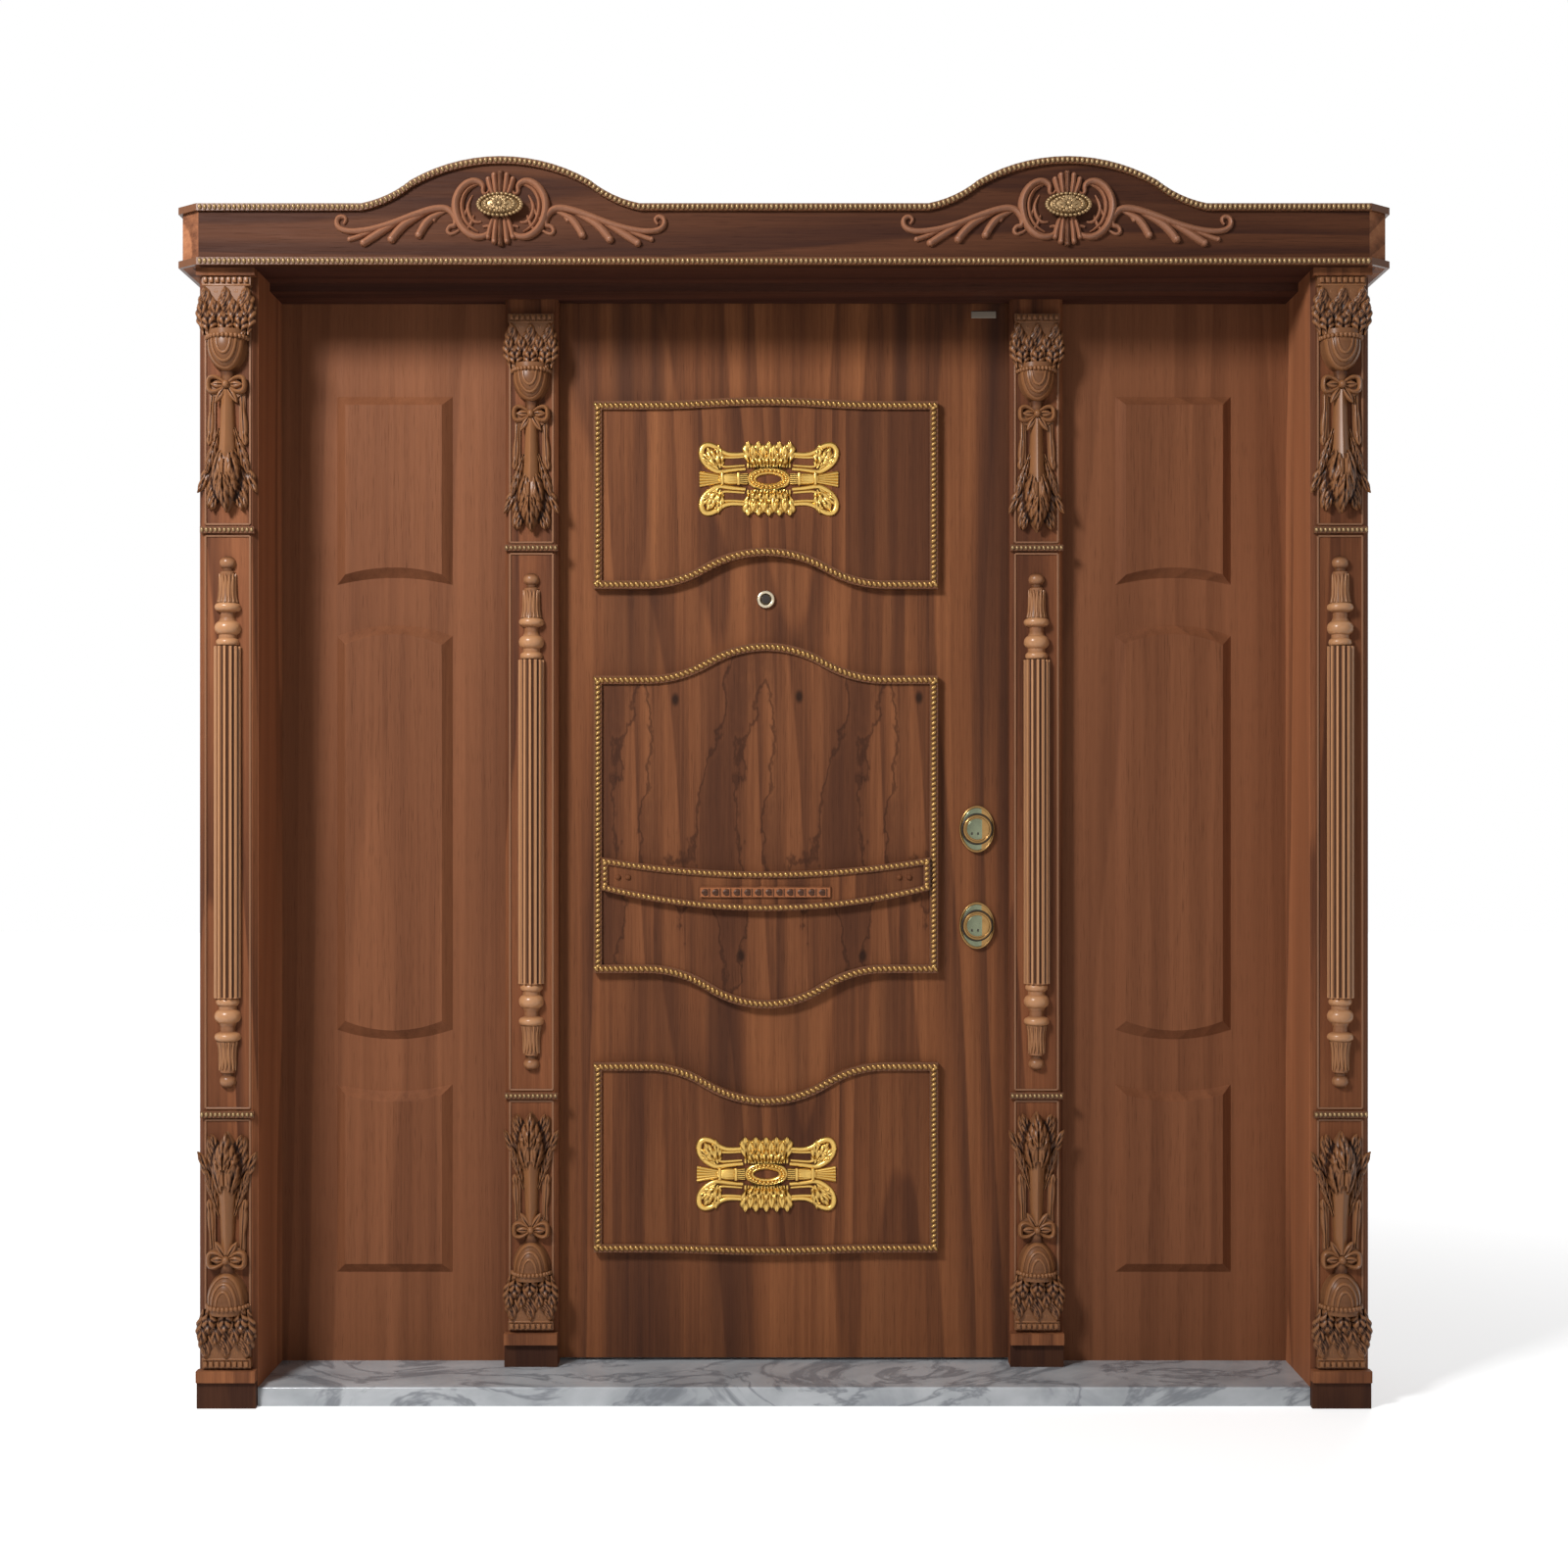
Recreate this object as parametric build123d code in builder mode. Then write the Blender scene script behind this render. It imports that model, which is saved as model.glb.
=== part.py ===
"""Entrance door of steel with walnut veneer: one leaf between two fixed side panels.

The frame stands in a wall opening. Casings, a double-crested cornice and carved pilasters
dress its outside. Millimetres, +X to the right seen from outside, +Y into the building,
+Z up. The origin is at floor level, at the middle of the doorway, in the plane of the
wall's outer face.
"""

import os

from build123d import *

os.makedirs("parts", exist_ok=True)

# Doorway and depth planes
opening_half = 995.0  # half of the clear width between the outer casings
soffit_z = 2131.0  # underside of the frame head
leaf_front_y = 60.0  # outer face of the leaf and of the side panels
frame_depth = 160.0  # the steel frame reaches this far into the wall
running_gap = 5.0  # clearance round the moving leaf
stop_overlap = 12.0  # how far the frame's stop covers the leaf's edge
lock_side_ease = 4.0  # more gap at the lock edge, which swings past the mullion on an arc

# Marble sill
sill_height = 36.0
sill_front_y = -127.0
sill_edge_radius = 4.0

# Steel frame members
jamb_width = 60.0
head_height = 80.0
mullion_width = 104.0
mullion_front_y = 40.0
stop_thickness = 15.0
leaf_half = 456.0

# Leaf and side panels
leaf_thickness = 70.0
side_panel_thickness = 60.0
field_rise = 16.0
field_bevel = 19.0
field_width = 229.0
back_field_rise = 5.0

# Outer casings and inner pilaster boards
casing_width = 111.0
casing_front_y = -130.0
casing_board = 18.0
casing_edge = 9.0
board_edge = 6.0
inner_board_thickness = 18.0

# Cornice
cornice_bottom_z = 2147.0
cornice_front_y = -166.0
cornice_board = 20.0
cornice_height = 114.0
cornice_inset = 10.0  # the flat front ends this far inside the casings' outer sides
facet_width = 37.0
facet_depth = 26.0
crest_centre = 530.0
crest_half = 260.0
crest_height = 88.0
cornice_bead_height = 13.0
cornice_bead_depth = 7.0
header_front_y = -38.0

# Raised panels of the leaf
panel_centre_x = -36.0
panel_width = 680.0
panel_thickness = 12.0
panel_flat = 105.0  # straight stretch at each end of a wavy edge
trim_width = 16.0
trim_thickness = 18.0
upper_panel_z = (1565.0, 1935.0)
upper_panel_wave = (65.0, 8.0)
middle_panel_z = (806.0, 1393.0)
middle_panel_wave = (-70.0, 65.0)
lower_panel_z = (254.0, 629.0)
lower_panel_wave = (-5.0, -68.0)
band_side_gap = 17.0  # from the middle panel's edge to the band's end
band_width = panel_width - 2 * band_side_gap
band_z = (970.0, 1034.0)
band_bow = (-41.0, -28.0)
band_thickness = 14.0
band_trim_width = 12.0
band_trim_thickness = 18.0
band_strip_width = 256.0
band_strip_height = 20.0
band_strip_rise = 4.0

# Gilt mounts on the upper and lower panels
mount_size = (273.0, 147.0)
mount_heights = (408.0, 1782.0)
mount_thickness = 7.0

# Furniture
peephole_z = 1545.0
peephole_radius = 18.0
peephole_rim = 5.0
lock_backset = 74.0  # from the leaf's closing edge to the middle of a lock
lock_x = leaf_half - lock_backset
lock_heights = (899.0, 1090.0)
lock_size = (69.0, 93.0)
lock_thickness = 11.0
lock_core_radius = 28.0
lock_core_rise = 9.0
hinge_heights = (300.0, 1086.0, 1880.0)
hinge_radius = 11.0
hinge_pin_radius = 6.0
hinge_pin_clearance = 0.3
hinge_knuckle = 60.0
hinge_axis_gap = 14.0  # from the leaf's inner face to the pin's axis
hinge_knuckle_gap = 1.0
hinge_pin_length = 45.0
hinge_plate = 5.0
hinge_plate_width = 42.0
rose_thickness = 8.0

# Derived planes
leaf_back_y = leaf_front_y + leaf_thickness
leaf_bottom_z = sill_height + running_gap + 1
leaf_top_z = soffit_z + stop_overlap - 2
mullion_inner_x = leaf_half - stop_overlap
mullion_outer_x = mullion_inner_x + mullion_width
inner_board_front_y = mullion_front_y - inner_board_thickness
casing_outer_x = opening_half + casing_width
cornice_top_z = cornice_bottom_z + cornice_height
cornice_half = casing_outer_x - cornice_inset


def facing(y):
    """A plane parallel to the wall at that depth, drawn in X and Z, facing outwards."""
    return Plane.XZ.offset(-y)


def save(piece, name):
    """Labels a finished piece and writes it to its own file."""
    piece.label = name
    export_step(piece, f"parts/{name}.step")


def mirrored(piece):
    """The same piece on the other side of the doorway."""
    return mirror(piece, about=Plane.YZ)


def slab(x_range, y_range, z_range):
    """A plain board between three pairs of planes."""
    with BuildPart() as board:
        with BuildSketch(facing(y_range[1])):
            with Locations(((x_range[0] + x_range[1]) / 2, (z_range[0] + z_range[1]) / 2)):
                Rectangle(x_range[1] - x_range[0], z_range[1] - z_range[0])
        extrude(amount=y_range[1] - y_range[0])
    return board.part


def wavy_edge(x_start, x_end, z, wave, flat):
    """A level edge that swells to a crest, or dips, in its middle through tangent arcs."""
    way = 1 if x_end > x_start else -1
    middle = (x_start + x_end) / 2
    foot = x_start + way * flat
    half = (foot + middle) / 2
    Line((x_start, z), (foot, z))
    first = TangentArc((foot, z), (half, z + wave / 2), tangent=(way, 0))
    TangentArc((half, z + wave / 2), (middle, z + wave), tangent=first % 1)
    far_foot = x_end - way * flat
    far_half = (far_foot + middle) / 2
    third = TangentArc((middle, z + wave), (far_half, z + wave / 2), tangent=(way, 0))
    TangentArc((far_half, z + wave / 2), (far_foot, z), tangent=third % 1)
    Line((far_foot, z), (x_end, z))


def wavy_outline(centre_x, width, z_range, waves, flat):
    """Closed outline of a raised panel with a wavy foot and a wavy head."""
    left = centre_x - width / 2
    right = centre_x + width / 2
    wavy_edge(left, right, z_range[0], waves[0], flat)
    Line((right, z_range[0]), (right, z_range[1]))
    wavy_edge(right, left, z_range[1], waves[1], flat)
    Line((left, z_range[1]), (left, z_range[0]))


# Marble sill
with BuildPart() as sill:
    with BuildSketch(Plane.XY):
        with Locations((0, (sill_front_y + frame_depth) / 2)):
            Rectangle(2 * opening_half, frame_depth - sill_front_y)
    extrude(amount=sill_height)
    front_top = sill.edges().filter_by(Axis.X).group_by(Axis.Z)[-1].sort_by(Axis.Y)[0]
    fillet(front_top, sill_edge_radius)
save(sill.part, "marble_sill")

# Steel jambs in the wall opening
right_jamb = slab(
    (opening_half, opening_half + jamb_width), (0, frame_depth), (0, soffit_z)
)
save(right_jamb, "right_jamb")
save(mirrored(right_jamb), "left_jamb")

# Steel head with the rebate that takes the leaf's top edge
head_half = opening_half + jamb_width
rebate_half = leaf_half + running_gap
rebate_y = leaf_front_y - running_gap
rebate_top_z = leaf_top_z + running_gap
with BuildPart() as head:
    with BuildSketch(Plane.YZ):
        with BuildLine():
            Polyline(
                (0, soffit_z),
                (frame_depth, soffit_z),
                (frame_depth, soffit_z + head_height),
                (0, soffit_z + head_height),
                close=True,
            )
        make_face()
    extrude(amount=head_half, both=True)
    with BuildSketch(Plane.YZ):
        with Locations(((rebate_y + frame_depth) / 2, (soffit_z + rebate_top_z) / 2)):
            Rectangle(frame_depth - rebate_y, rebate_top_z - soffit_z)
    extrude(amount=rebate_half, both=True, mode=Mode.SUBTRACT)
save(head.part, "frame_head")

# Mullions between the leaf and the side panels, each with a stop for the leaf
with BuildPart() as mullion:
    with BuildSketch(Plane.XY.offset(sill_height)):
        with BuildLine():
            Polyline(
                (mullion_inner_x, mullion_front_y),
                (mullion_outer_x, mullion_front_y),
                (mullion_outer_x, leaf_back_y),
                (leaf_half + running_gap, leaf_back_y),
                (leaf_half + running_gap, mullion_front_y + stop_thickness),
                (mullion_inner_x, mullion_front_y + stop_thickness),
                close=True,
            )
        make_face()
    extrude(amount=soffit_z - sill_height)
save(mullion.part, "right_mullion")
save(mirrored(mullion.part), "left_mullion")

# Header lining under the cornice
header_lining = slab(
    (-opening_half, opening_half), (header_front_y, 0), (soffit_z, cornice_bottom_z)
)
save(header_lining, "header_lining")


def bowed_edge(start, end, bow):
    """An edge from start to end, straight or bowed up by the length given."""
    if bow:
        ThreePointArc(start, ((start[0] + end[0]) / 2, start[1] + bow), end)
    else:
        Line(start, end)


def field_outline(width, z_range, waves, inset):
    """Outline of one field of a side panel, its head and foot bowed by the waves given."""
    half = width / 2 - inset
    low = z_range[0] + inset
    high = z_range[1] - inset
    bowed_edge((-half, low), (half, low), waves[0])
    Line((half, low), (half, high))
    bowed_edge((half, high), (-half, high), waves[1])
    Line((-half, high), (-half, low))


# Side panels, each with three bevelled fields on both faces
fields = (
    ((1574.0, 1947.0), (14.0, 0.0)),
    ((692.0, 1473.0), (-19.0, 21.0)),
    ((212.0, 584.0), (0.0, -14.0)),
)
side_centre_x = (mullion_outer_x + opening_half) / 2
side_back_y = leaf_front_y + side_panel_thickness
with BuildPart() as side_panel:
    with BuildSketch(facing(side_back_y)):
        with Locations((side_centre_x, (sill_height + soffit_z) / 2)):
            Rectangle(opening_half - mullion_outer_x, soffit_z - sill_height)
    extrude(amount=side_panel_thickness)
    for z_range, waves in fields:
        for y, rise in ((leaf_front_y, field_rise), (side_back_y, -back_field_rise)):
            base = facing(y).shift_origin((side_centre_x, y, 0))
            with BuildSketch(base):
                with BuildLine():
                    field_outline(field_width, z_range, waves, 0)
                make_face()
            with BuildSketch(base.offset(rise)):
                with BuildLine():
                    field_outline(field_width, z_range, waves, field_bevel)
                make_face()
            loft(ruled=True)
save(side_panel.part, "right_side_panel")
save(mirrored(side_panel.part), "left_side_panel")

# Outer casings, open at the back where they meet the wall
with BuildPart() as casing:
    with BuildSketch(Plane.XY):
        with Locations((opening_half + casing_width / 2, casing_front_y / 2)):
            Rectangle(casing_width, -casing_front_y)
        with Locations((opening_half + casing_width / 2, (casing_front_y + casing_board) / 2)):
            Rectangle(
                casing_width - 2 * casing_board,
                -casing_front_y - casing_board,
                mode=Mode.SUBTRACT,
            )
    extrude(amount=cornice_bottom_z)
    front_edges = casing.edges().filter_by(Axis.Z).group_by(Axis.Y)[0]
    chamfer(front_edges, casing_edge)
save(casing.part, "right_outer_casing")
save(mirrored(casing.part), "left_outer_casing")

# Inner pilaster boards on the mullions
with BuildPart() as inner_board:
    add(
        slab(
            (mullion_inner_x, mullion_outer_x),
            (inner_board_front_y, mullion_front_y),
            (sill_height, soffit_z),
        )
    )
    chamfer(inner_board.edges().filter_by(Axis.Z).group_by(Axis.Y)[0], board_edge)
save(inner_board.part, "right_inner_board")
save(mirrored(inner_board.part), "left_inner_board")

# Heights along the pilasters, from the head down
outer_centre_x = opening_half + casing_width / 2
inner_centre_x = (mullion_inner_x + mullion_outer_x) / 2
drop_width = 92.0
drop_height = 446.0
drop_depth = 14.0
abacus_height = 14.0
base_height = 50.0
plinth_height = 22.0
plinth_gap = 4.0
inner_drop_gap = 31.0  # from the soffit to the head of an inner drop
outer_drop_head_z = cornice_bottom_z - abacus_height
inner_drop_head_z = soffit_z - inner_drop_gap
drop_mirror_z = (outer_drop_head_z + base_height + plinth_height + plinth_gap) / 2
inner_scale = 0.96
strip_height = 12.0
strip_depth = 8.0
strip_gap = 31.0  # from a drop's tip to the middle of its bead strip
column_gap = 50.0  # from the middle of a bead strip to the column's knob
column_shaft_radius = 26.0
column_flutes = 14
column_flute_radius = 4.0
column_end = 170.0  # turned length beyond each end of the shaft


def pilaster_heights(drop_head_z, scale):
    """The heights of the lower and upper bead strip and of the shaft's two ends."""
    upper_strip = drop_head_z - scale * (drop_height + strip_gap)
    lower_strip = 2 * drop_mirror_z - upper_strip
    reach = column_gap + column_end
    return (lower_strip, upper_strip), (lower_strip + reach, upper_strip - reach)


outer_strip_heights, outer_shaft = pilaster_heights(outer_drop_head_z, 1.0)
inner_strip_heights, inner_shaft = pilaster_heights(inner_drop_head_z, inner_scale)


# Turned half columns with a fluted shaft
def turned_end():
    """Half outline of the turning beyond the shaft, from the shaft's end to the knob."""

    def at(across, along):
        return (across * column_shaft_radius, along * column_end)

    def swelling(low, high, foot, crown):
        ThreePointArc(at(foot, low), at(crown, (low + high) / 2), at(foot, high))

    Line(at(0, 0), at(0.65, 0))
    swelling(0, 0.09, 0.65, 0.85)
    Line(at(0.65, 0.09), at(0.65, 0.13))
    swelling(0.13, 0.28, 0.65, 0.96)
    Line(at(0.65, 0.28), at(0.54, 0.32))
    Line(at(0.54, 0.32), at(0.54, 0.375))
    Line(at(0.54, 0.375), at(0.73, 0.39))
    swelling(0.39, 0.48, 0.73, 0.96)
    ThreePointArc(at(0.73, 0.48), at(0.54, 0.635), at(0.56, 0.825))
    Line(at(0.56, 0.825), at(0.385, 0.84))
    Line(at(0.385, 0.84), at(0.385, 0.865))
    ThreePointArc(at(0.385, 0.865), at(0.6, 0.93), at(0, 1))
    Line(at(0, 1), at(0, 0))


def half_column(centre_x, face_y, shaft_range):
    """A half column on a board's face, with the fluted shaft between two turned ends."""
    low, high = shaft_range
    with BuildPart() as column:
        with BuildSketch(Plane((centre_x, face_y, low))) as section:
            Circle(column_shaft_radius)
            with PolarLocations(column_shaft_radius, column_flutes):
                Circle(column_flute_radius, mode=Mode.SUBTRACT)
            split(bisect_by=Plane.XZ.offset(0), keep=Keep.TOP)
        extrude(amount=high - low)
        for z, up in ((high, 1), (low, -1)):
            plane = Plane((centre_x, face_y, z), x_dir=(1, 0, 0), z_dir=(0, -up, 0))
            with BuildSketch(plane):
                with BuildLine():
                    turned_end()
                make_face()
            revolve(axis=Axis((centre_x, face_y, z), (0, 0, -1)), revolution_arc=180)
    return column.part


right_outer_column = half_column(outer_centre_x, casing_front_y, outer_shaft)
right_inner_column = half_column(inner_centre_x, inner_board_front_y, inner_shaft)
save(right_outer_column, "right_outer_column")
save(mirrored(right_outer_column), "left_outer_column")
save(right_inner_column, "right_inner_column")
save(mirrored(right_inner_column), "left_inner_column")


# Carved drops above and below each column
def drop_turning():
    """Half outline of the drop below its leafy block: bowl, neck, stem and plume."""

    def at(across, along):
        return (across * drop_width / 2, -along * drop_height)

    Line(at(0, 0.23), at(0.8, 0.23))
    Line(at(0.8, 0.23), at(0.8, 0.27))
    ThreePointArc(at(0.8, 0.27), at(0.65, 0.36), at(0.3, 0.4))
    Line(at(0.3, 0.4), at(0.26, 0.45))
    ThreePointArc(at(0.26, 0.45), at(0.24, 0.58), at(0.28, 0.71))
    ThreePointArc(at(0.28, 0.71), at(0.59, 0.86), at(0, 1))
    Line(at(0, 1), at(0, 0.23))


def carved_drop(centre_x, face_y, z_head, scale):
    """A carved drop that hangs from z_head on a board's face."""
    with BuildPart() as drop:
        face = Plane((0, 0, 0), x_dir=(1, 0, 0), z_dir=(0, -1, 0))
        with BuildSketch(face):
            with Locations((0, -0.02 * drop_height)):
                Rectangle(drop_width, 0.04 * drop_height)
        extrude(amount=0.9 * drop_depth)
        with BuildSketch(face):
            with Locations((0, -0.135 * drop_height)):
                Rectangle(0.95 * drop_width, 0.215 * drop_height)
        with BuildSketch(face.offset(drop_depth)):
            with Locations((0, -0.13 * drop_height)):
                Rectangle(0.83 * drop_width, 0.19 * drop_height)
        loft(ruled=True)
        with BuildSketch(face):
            with BuildLine():
                drop_turning()
            make_face()
        revolve(axis=Axis((0, 0, 0), (0, 0, -1)), revolution_arc=180)
        with BuildSketch(face):
            with Locations((0, -0.475 * drop_height)):
                Ellipse(0.36 * drop_width, 0.045 * drop_height)
        extrude(amount=0.65 * drop_depth)
        with BuildSketch(face):
            with Locations((0, -0.587 * drop_height)):
                with GridLocations(0.61 * drop_width, 0, 2, 1):
                    SlotOverall(0.2 * drop_height, 0.13 * drop_width, rotation=90)
        extrude(amount=0.35 * drop_depth)
    return Pos(centre_x, face_y, z_head) * drop.part.scale(scale)


def drop_pair(centre_x, face_y, z_head, scale):
    """The hanging drop and its mirrored twin at the pilaster's foot."""
    upper = carved_drop(centre_x, face_y, z_head, scale)
    lower = mirror(upper, about=Plane.XY.offset(drop_mirror_z))
    return Compound(children=[upper, lower])


outer_drops = drop_pair(outer_centre_x, casing_front_y, outer_drop_head_z, 1.0)
inner_drops = drop_pair(inner_centre_x, inner_board_front_y, inner_drop_head_z, inner_scale)
save(outer_drops, "right_outer_carvings")
save(mirrored(outer_drops), "left_outer_carvings")
save(inner_drops, "right_inner_carvings")
save(mirrored(inner_drops), "left_inner_carvings")

# Gilt bead strips across the pilasters
strips = []
for centre_x, width, face_y, heights in (
    (outer_centre_x, casing_width - casing_edge, casing_front_y, outer_strip_heights),
    (inner_centre_x, mullion_width, inner_board_front_y, inner_strip_heights),
):
    for z in heights:
        for side in (1, -1):
            middle = side * centre_x
            strips.append(
                slab(
                    (middle - width / 2, middle + width / 2),
                    (face_y - strip_depth, face_y),
                    (z - strip_height / 2, z + strip_height / 2),
                )
            )
save(Compound(children=strips), "pilaster_bead_strips")

# Blocks at the foot and head of the pilasters
base_depth = 13.0
plinth_depth = 20.0
abacus_depth = 20.0
inner_base_height = 45.0
inner_base_depth = 10.0
blocks = []
for side in (1, -1):
    outer_x = (side * outer_centre_x - casing_width / 2, side * outer_centre_x + casing_width / 2)
    inner_x = (side * inner_centre_x - mullion_width / 2, side * inner_centre_x + mullion_width / 2)
    outer_foot = [
        slab(outer_x, (casing_front_y - base_depth, casing_front_y), (0, base_height)),
        slab(
            outer_x,
            (casing_front_y - plinth_depth, casing_front_y),
            (base_height, base_height + plinth_height),
        ),
    ]
    inner_foot = [
        slab(
            inner_x,
            (inner_board_front_y - inner_base_depth, inner_board_front_y),
            (sill_height, sill_height + inner_base_height),
        ),
        slab(
            inner_x,
            (inner_board_front_y - plinth_depth, inner_board_front_y),
            (sill_height + inner_base_height, sill_height + inner_base_height + plinth_height),
        ),
    ]
    for foot in (outer_foot, inner_foot):
        with BuildPart() as stepped:
            add(foot)
        blocks.append(stepped.part)
    blocks.append(
        slab(
            outer_x,
            (casing_front_y - abacus_depth, casing_front_y),
            (outer_drop_head_z, cornice_bottom_z),
        )
    )
save(Compound(children=blocks), "pilaster_blocks")

# Cornice: fascia with two crests
cornice_inner_y = cornice_front_y + cornice_board
cornice_side_x = cornice_half + facet_width
return_inner_x = cornice_side_x - cornice_board


def crest_edge(middle):
    """A crest over the fascia's top edge: kinked feet, hollow flanks and a round top."""
    flank_x = 0.64 * crest_half
    flank_z = cornice_top_z + 0.5 * crest_height
    for side in (-1, 1):
        ThreePointArc(
            (middle + side * crest_half, cornice_top_z),
            (middle + side * (crest_half + flank_x) / 2, cornice_top_z + 0.17 * crest_height),
            (middle + side * flank_x, flank_z),
        )
    ThreePointArc(
        (middle - flank_x, flank_z),
        (middle, cornice_top_z + crest_height),
        (middle + flank_x, flank_z),
    )


def fascia_outline(foot_z):
    """Closed outline of the fascia from foot_z up to its crested top edge."""
    near = crest_centre - crest_half
    far = crest_centre + crest_half
    crest_edge(-crest_centre)
    crest_edge(crest_centre)
    Line((-near, cornice_top_z), (near, cornice_top_z))
    for side in (-1, 1):
        Line((side * far, cornice_top_z), (side * cornice_half, cornice_top_z))
        Line((side * cornice_half, cornice_top_z), (side * cornice_half, foot_z))
    Line((-cornice_half, foot_z), (cornice_half, foot_z))


with BuildPart() as fascia:
    with BuildSketch(facing(cornice_inner_y)):
        with BuildLine():
            fascia_outline(cornice_bottom_z)
        make_face()
    extrude(amount=cornice_board)
save(fascia.part, "cornice_fascia")

# Cornice soffit and top boards between the fascia and the wall
soffit = slab(
    (-return_inner_x, return_inner_x),
    (cornice_inner_y, 0),
    (cornice_bottom_z, cornice_bottom_z + cornice_board),
)
save(soffit, "cornice_soffit")
top_board = slab(
    (-return_inner_x, return_inner_x),
    (cornice_inner_y, 0),
    (cornice_top_z - cornice_board, cornice_top_z),
)
save(top_board, "cornice_top_board")

# Cornice returns, each with a facet that turns the front corner
with BuildPart() as cornice_return:
    with BuildSketch(Plane.XY.offset(cornice_bottom_z)):
        with BuildLine():
            Polyline(
                (cornice_half, cornice_front_y),
                (cornice_side_x, cornice_front_y + facet_depth),
                (cornice_side_x, 0),
                (return_inner_x, 0),
                (return_inner_x, cornice_inner_y),
                (cornice_half, cornice_inner_y),
                close=True,
            )
        make_face()
    extrude(amount=cornice_height)
save(cornice_return.part, "cornice_right_return")
save(mirrored(cornice_return.part), "cornice_left_return")


def cornice_plan():
    """The cornice's outline seen from above."""
    Polyline(
        (-cornice_side_x, 0),
        (-cornice_side_x, cornice_front_y + facet_depth),
        (-cornice_half, cornice_front_y),
        (cornice_half, cornice_front_y),
        (cornice_side_x, cornice_front_y + facet_depth),
        (cornice_side_x, 0),
        close=True,
    )


# Bead mouldings along the cornice's bottom edge and along its crested top edge
with BuildPart() as bottom_bead:
    with BuildSketch(Plane.XY.offset(cornice_bottom_z)) as band_plan:
        with BuildLine():
            cornice_plan()
        make_face()
        offset(amount=cornice_bead_depth, kind=Kind.INTERSECTION)
        with BuildLine():
            cornice_plan()
        make_face(mode=Mode.SUBTRACT)
        with Locations((0, cornice_bead_depth / 2)):
            Rectangle(3 * cornice_side_x, cornice_bead_depth, mode=Mode.SUBTRACT)
    extrude(amount=cornice_bead_height)
with BuildPart() as top_bead:
    with BuildSketch(Plane.XY.offset(cornice_top_z - cornice_bead_height)):
        add(band_plan.sketch_local)
        with Locations((0, cornice_front_y)):
            Rectangle(2 * cornice_half, 4 * cornice_bead_depth, mode=Mode.SUBTRACT)
    extrude(amount=cornice_bead_height)
    with BuildSketch(facing(cornice_front_y)):
        with BuildLine():
            fascia_outline(cornice_bottom_z)
        make_face()
        with BuildLine() as lowered:
            fascia_outline(cornice_bottom_z)
        add(
            make_face(lowered.edges(), mode=Mode.PRIVATE).moved(
                Location((0, -cornice_bead_height, 0))
            ),
            mode=Mode.SUBTRACT,
        )
    extrude(amount=cornice_bead_depth)
save(Compound(children=[bottom_bead.part, top_bead.part]), "cornice_beads")

# Carved scrolls on the fascia: a cartouche with an oval boss, two arms and their curls
scroll_lift = 105.0  # from the fascia's bottom edge to the middle of the scroll
scroll_z = cornice_bottom_z + scroll_lift
scroll_depth = 22.0
scroll_cartouche = (92.0, 67.0)
scroll_arm = (150.0, 90.0, 26.0)  # offset from the middle, half length, half height
scroll_arm_drop = 16.0
scroll_curl = (270.0, 40.0, 26.0)
scroll_curl_drop = 37.0
scroll_boss = (45.0, 24.0)
scroll_boss_rise = 8.0
scrolls = []
for side in (1, -1):
    middle = side * crest_centre
    with BuildPart() as scroll:
        with BuildSketch(facing(cornice_front_y)):
            with Locations((middle, scroll_z)):
                Ellipse(*scroll_cartouche)
            with GridLocations(2 * scroll_arm[0], 0, 2, 1):
                with Locations((middle, scroll_z - scroll_arm_drop)):
                    Ellipse(*scroll_arm[1:])
            with GridLocations(2 * scroll_curl[0], 0, 2, 1):
                with Locations((middle, scroll_z - scroll_curl_drop)):
                    Ellipse(*scroll_curl[1:])
        extrude(amount=scroll_depth)
        with BuildSketch(facing(cornice_front_y - scroll_depth)):
            with Locations((middle, scroll_z)):
                Ellipse(*scroll_boss)
        extrude(amount=scroll_boss_rise)
    scrolls.append(scroll.part)
save(Compound(children=scrolls), "cornice_scrolls")

# Leaf: a steel slab with a gap to the frame all round
leaf_left_x = -leaf_half
leaf_right_x = leaf_half - lock_side_ease
leaf = slab(
    (leaf_left_x, leaf_right_x), (leaf_front_y, leaf_back_y), (leaf_bottom_z, leaf_top_z)
)
save(leaf, "door_leaf")

# Raised panels with wavy heads and feet, each framed by a rope trim


def wavy_board(width, z_range, waves, face_y, thickness, inset):
    """A board with the wavy outline, drawn in by the inset, on a face at that depth."""
    with BuildPart() as board:
        with BuildSketch(facing(face_y)):
            with BuildLine():
                wavy_outline(panel_centre_x, width, z_range, waves, panel_flat)
            make_face()
            if inset:
                offset(amount=-inset, kind=Kind.INTERSECTION, mode=Mode.REPLACE)
        extrude(amount=thickness)
    return board.part


def wavy_frame(width, z_range, waves, face_y, thickness, inset):
    """The trim round such a board, as wide as the inset."""
    with BuildPart() as frame:
        add(wavy_board(width, z_range, waves, face_y, thickness, 0))
        add(wavy_board(width, z_range, waves, face_y, thickness, inset), mode=Mode.SUBTRACT)
    return frame.part


trims = []
for name, z_range, waves in (
    ("upper_raised_panel", upper_panel_z, upper_panel_wave),
    ("middle_raised_panel", middle_panel_z, middle_panel_wave),
    ("lower_raised_panel", lower_panel_z, lower_panel_wave),
):
    panel = wavy_board(panel_width, z_range, waves, leaf_front_y, panel_thickness, trim_width)
    save(panel, name)
    trims.append(
        wavy_frame(panel_width, z_range, waves, leaf_front_y, trim_thickness, trim_width)
    )
save(Compound(children=trims), "panel_rope_trims")

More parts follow.
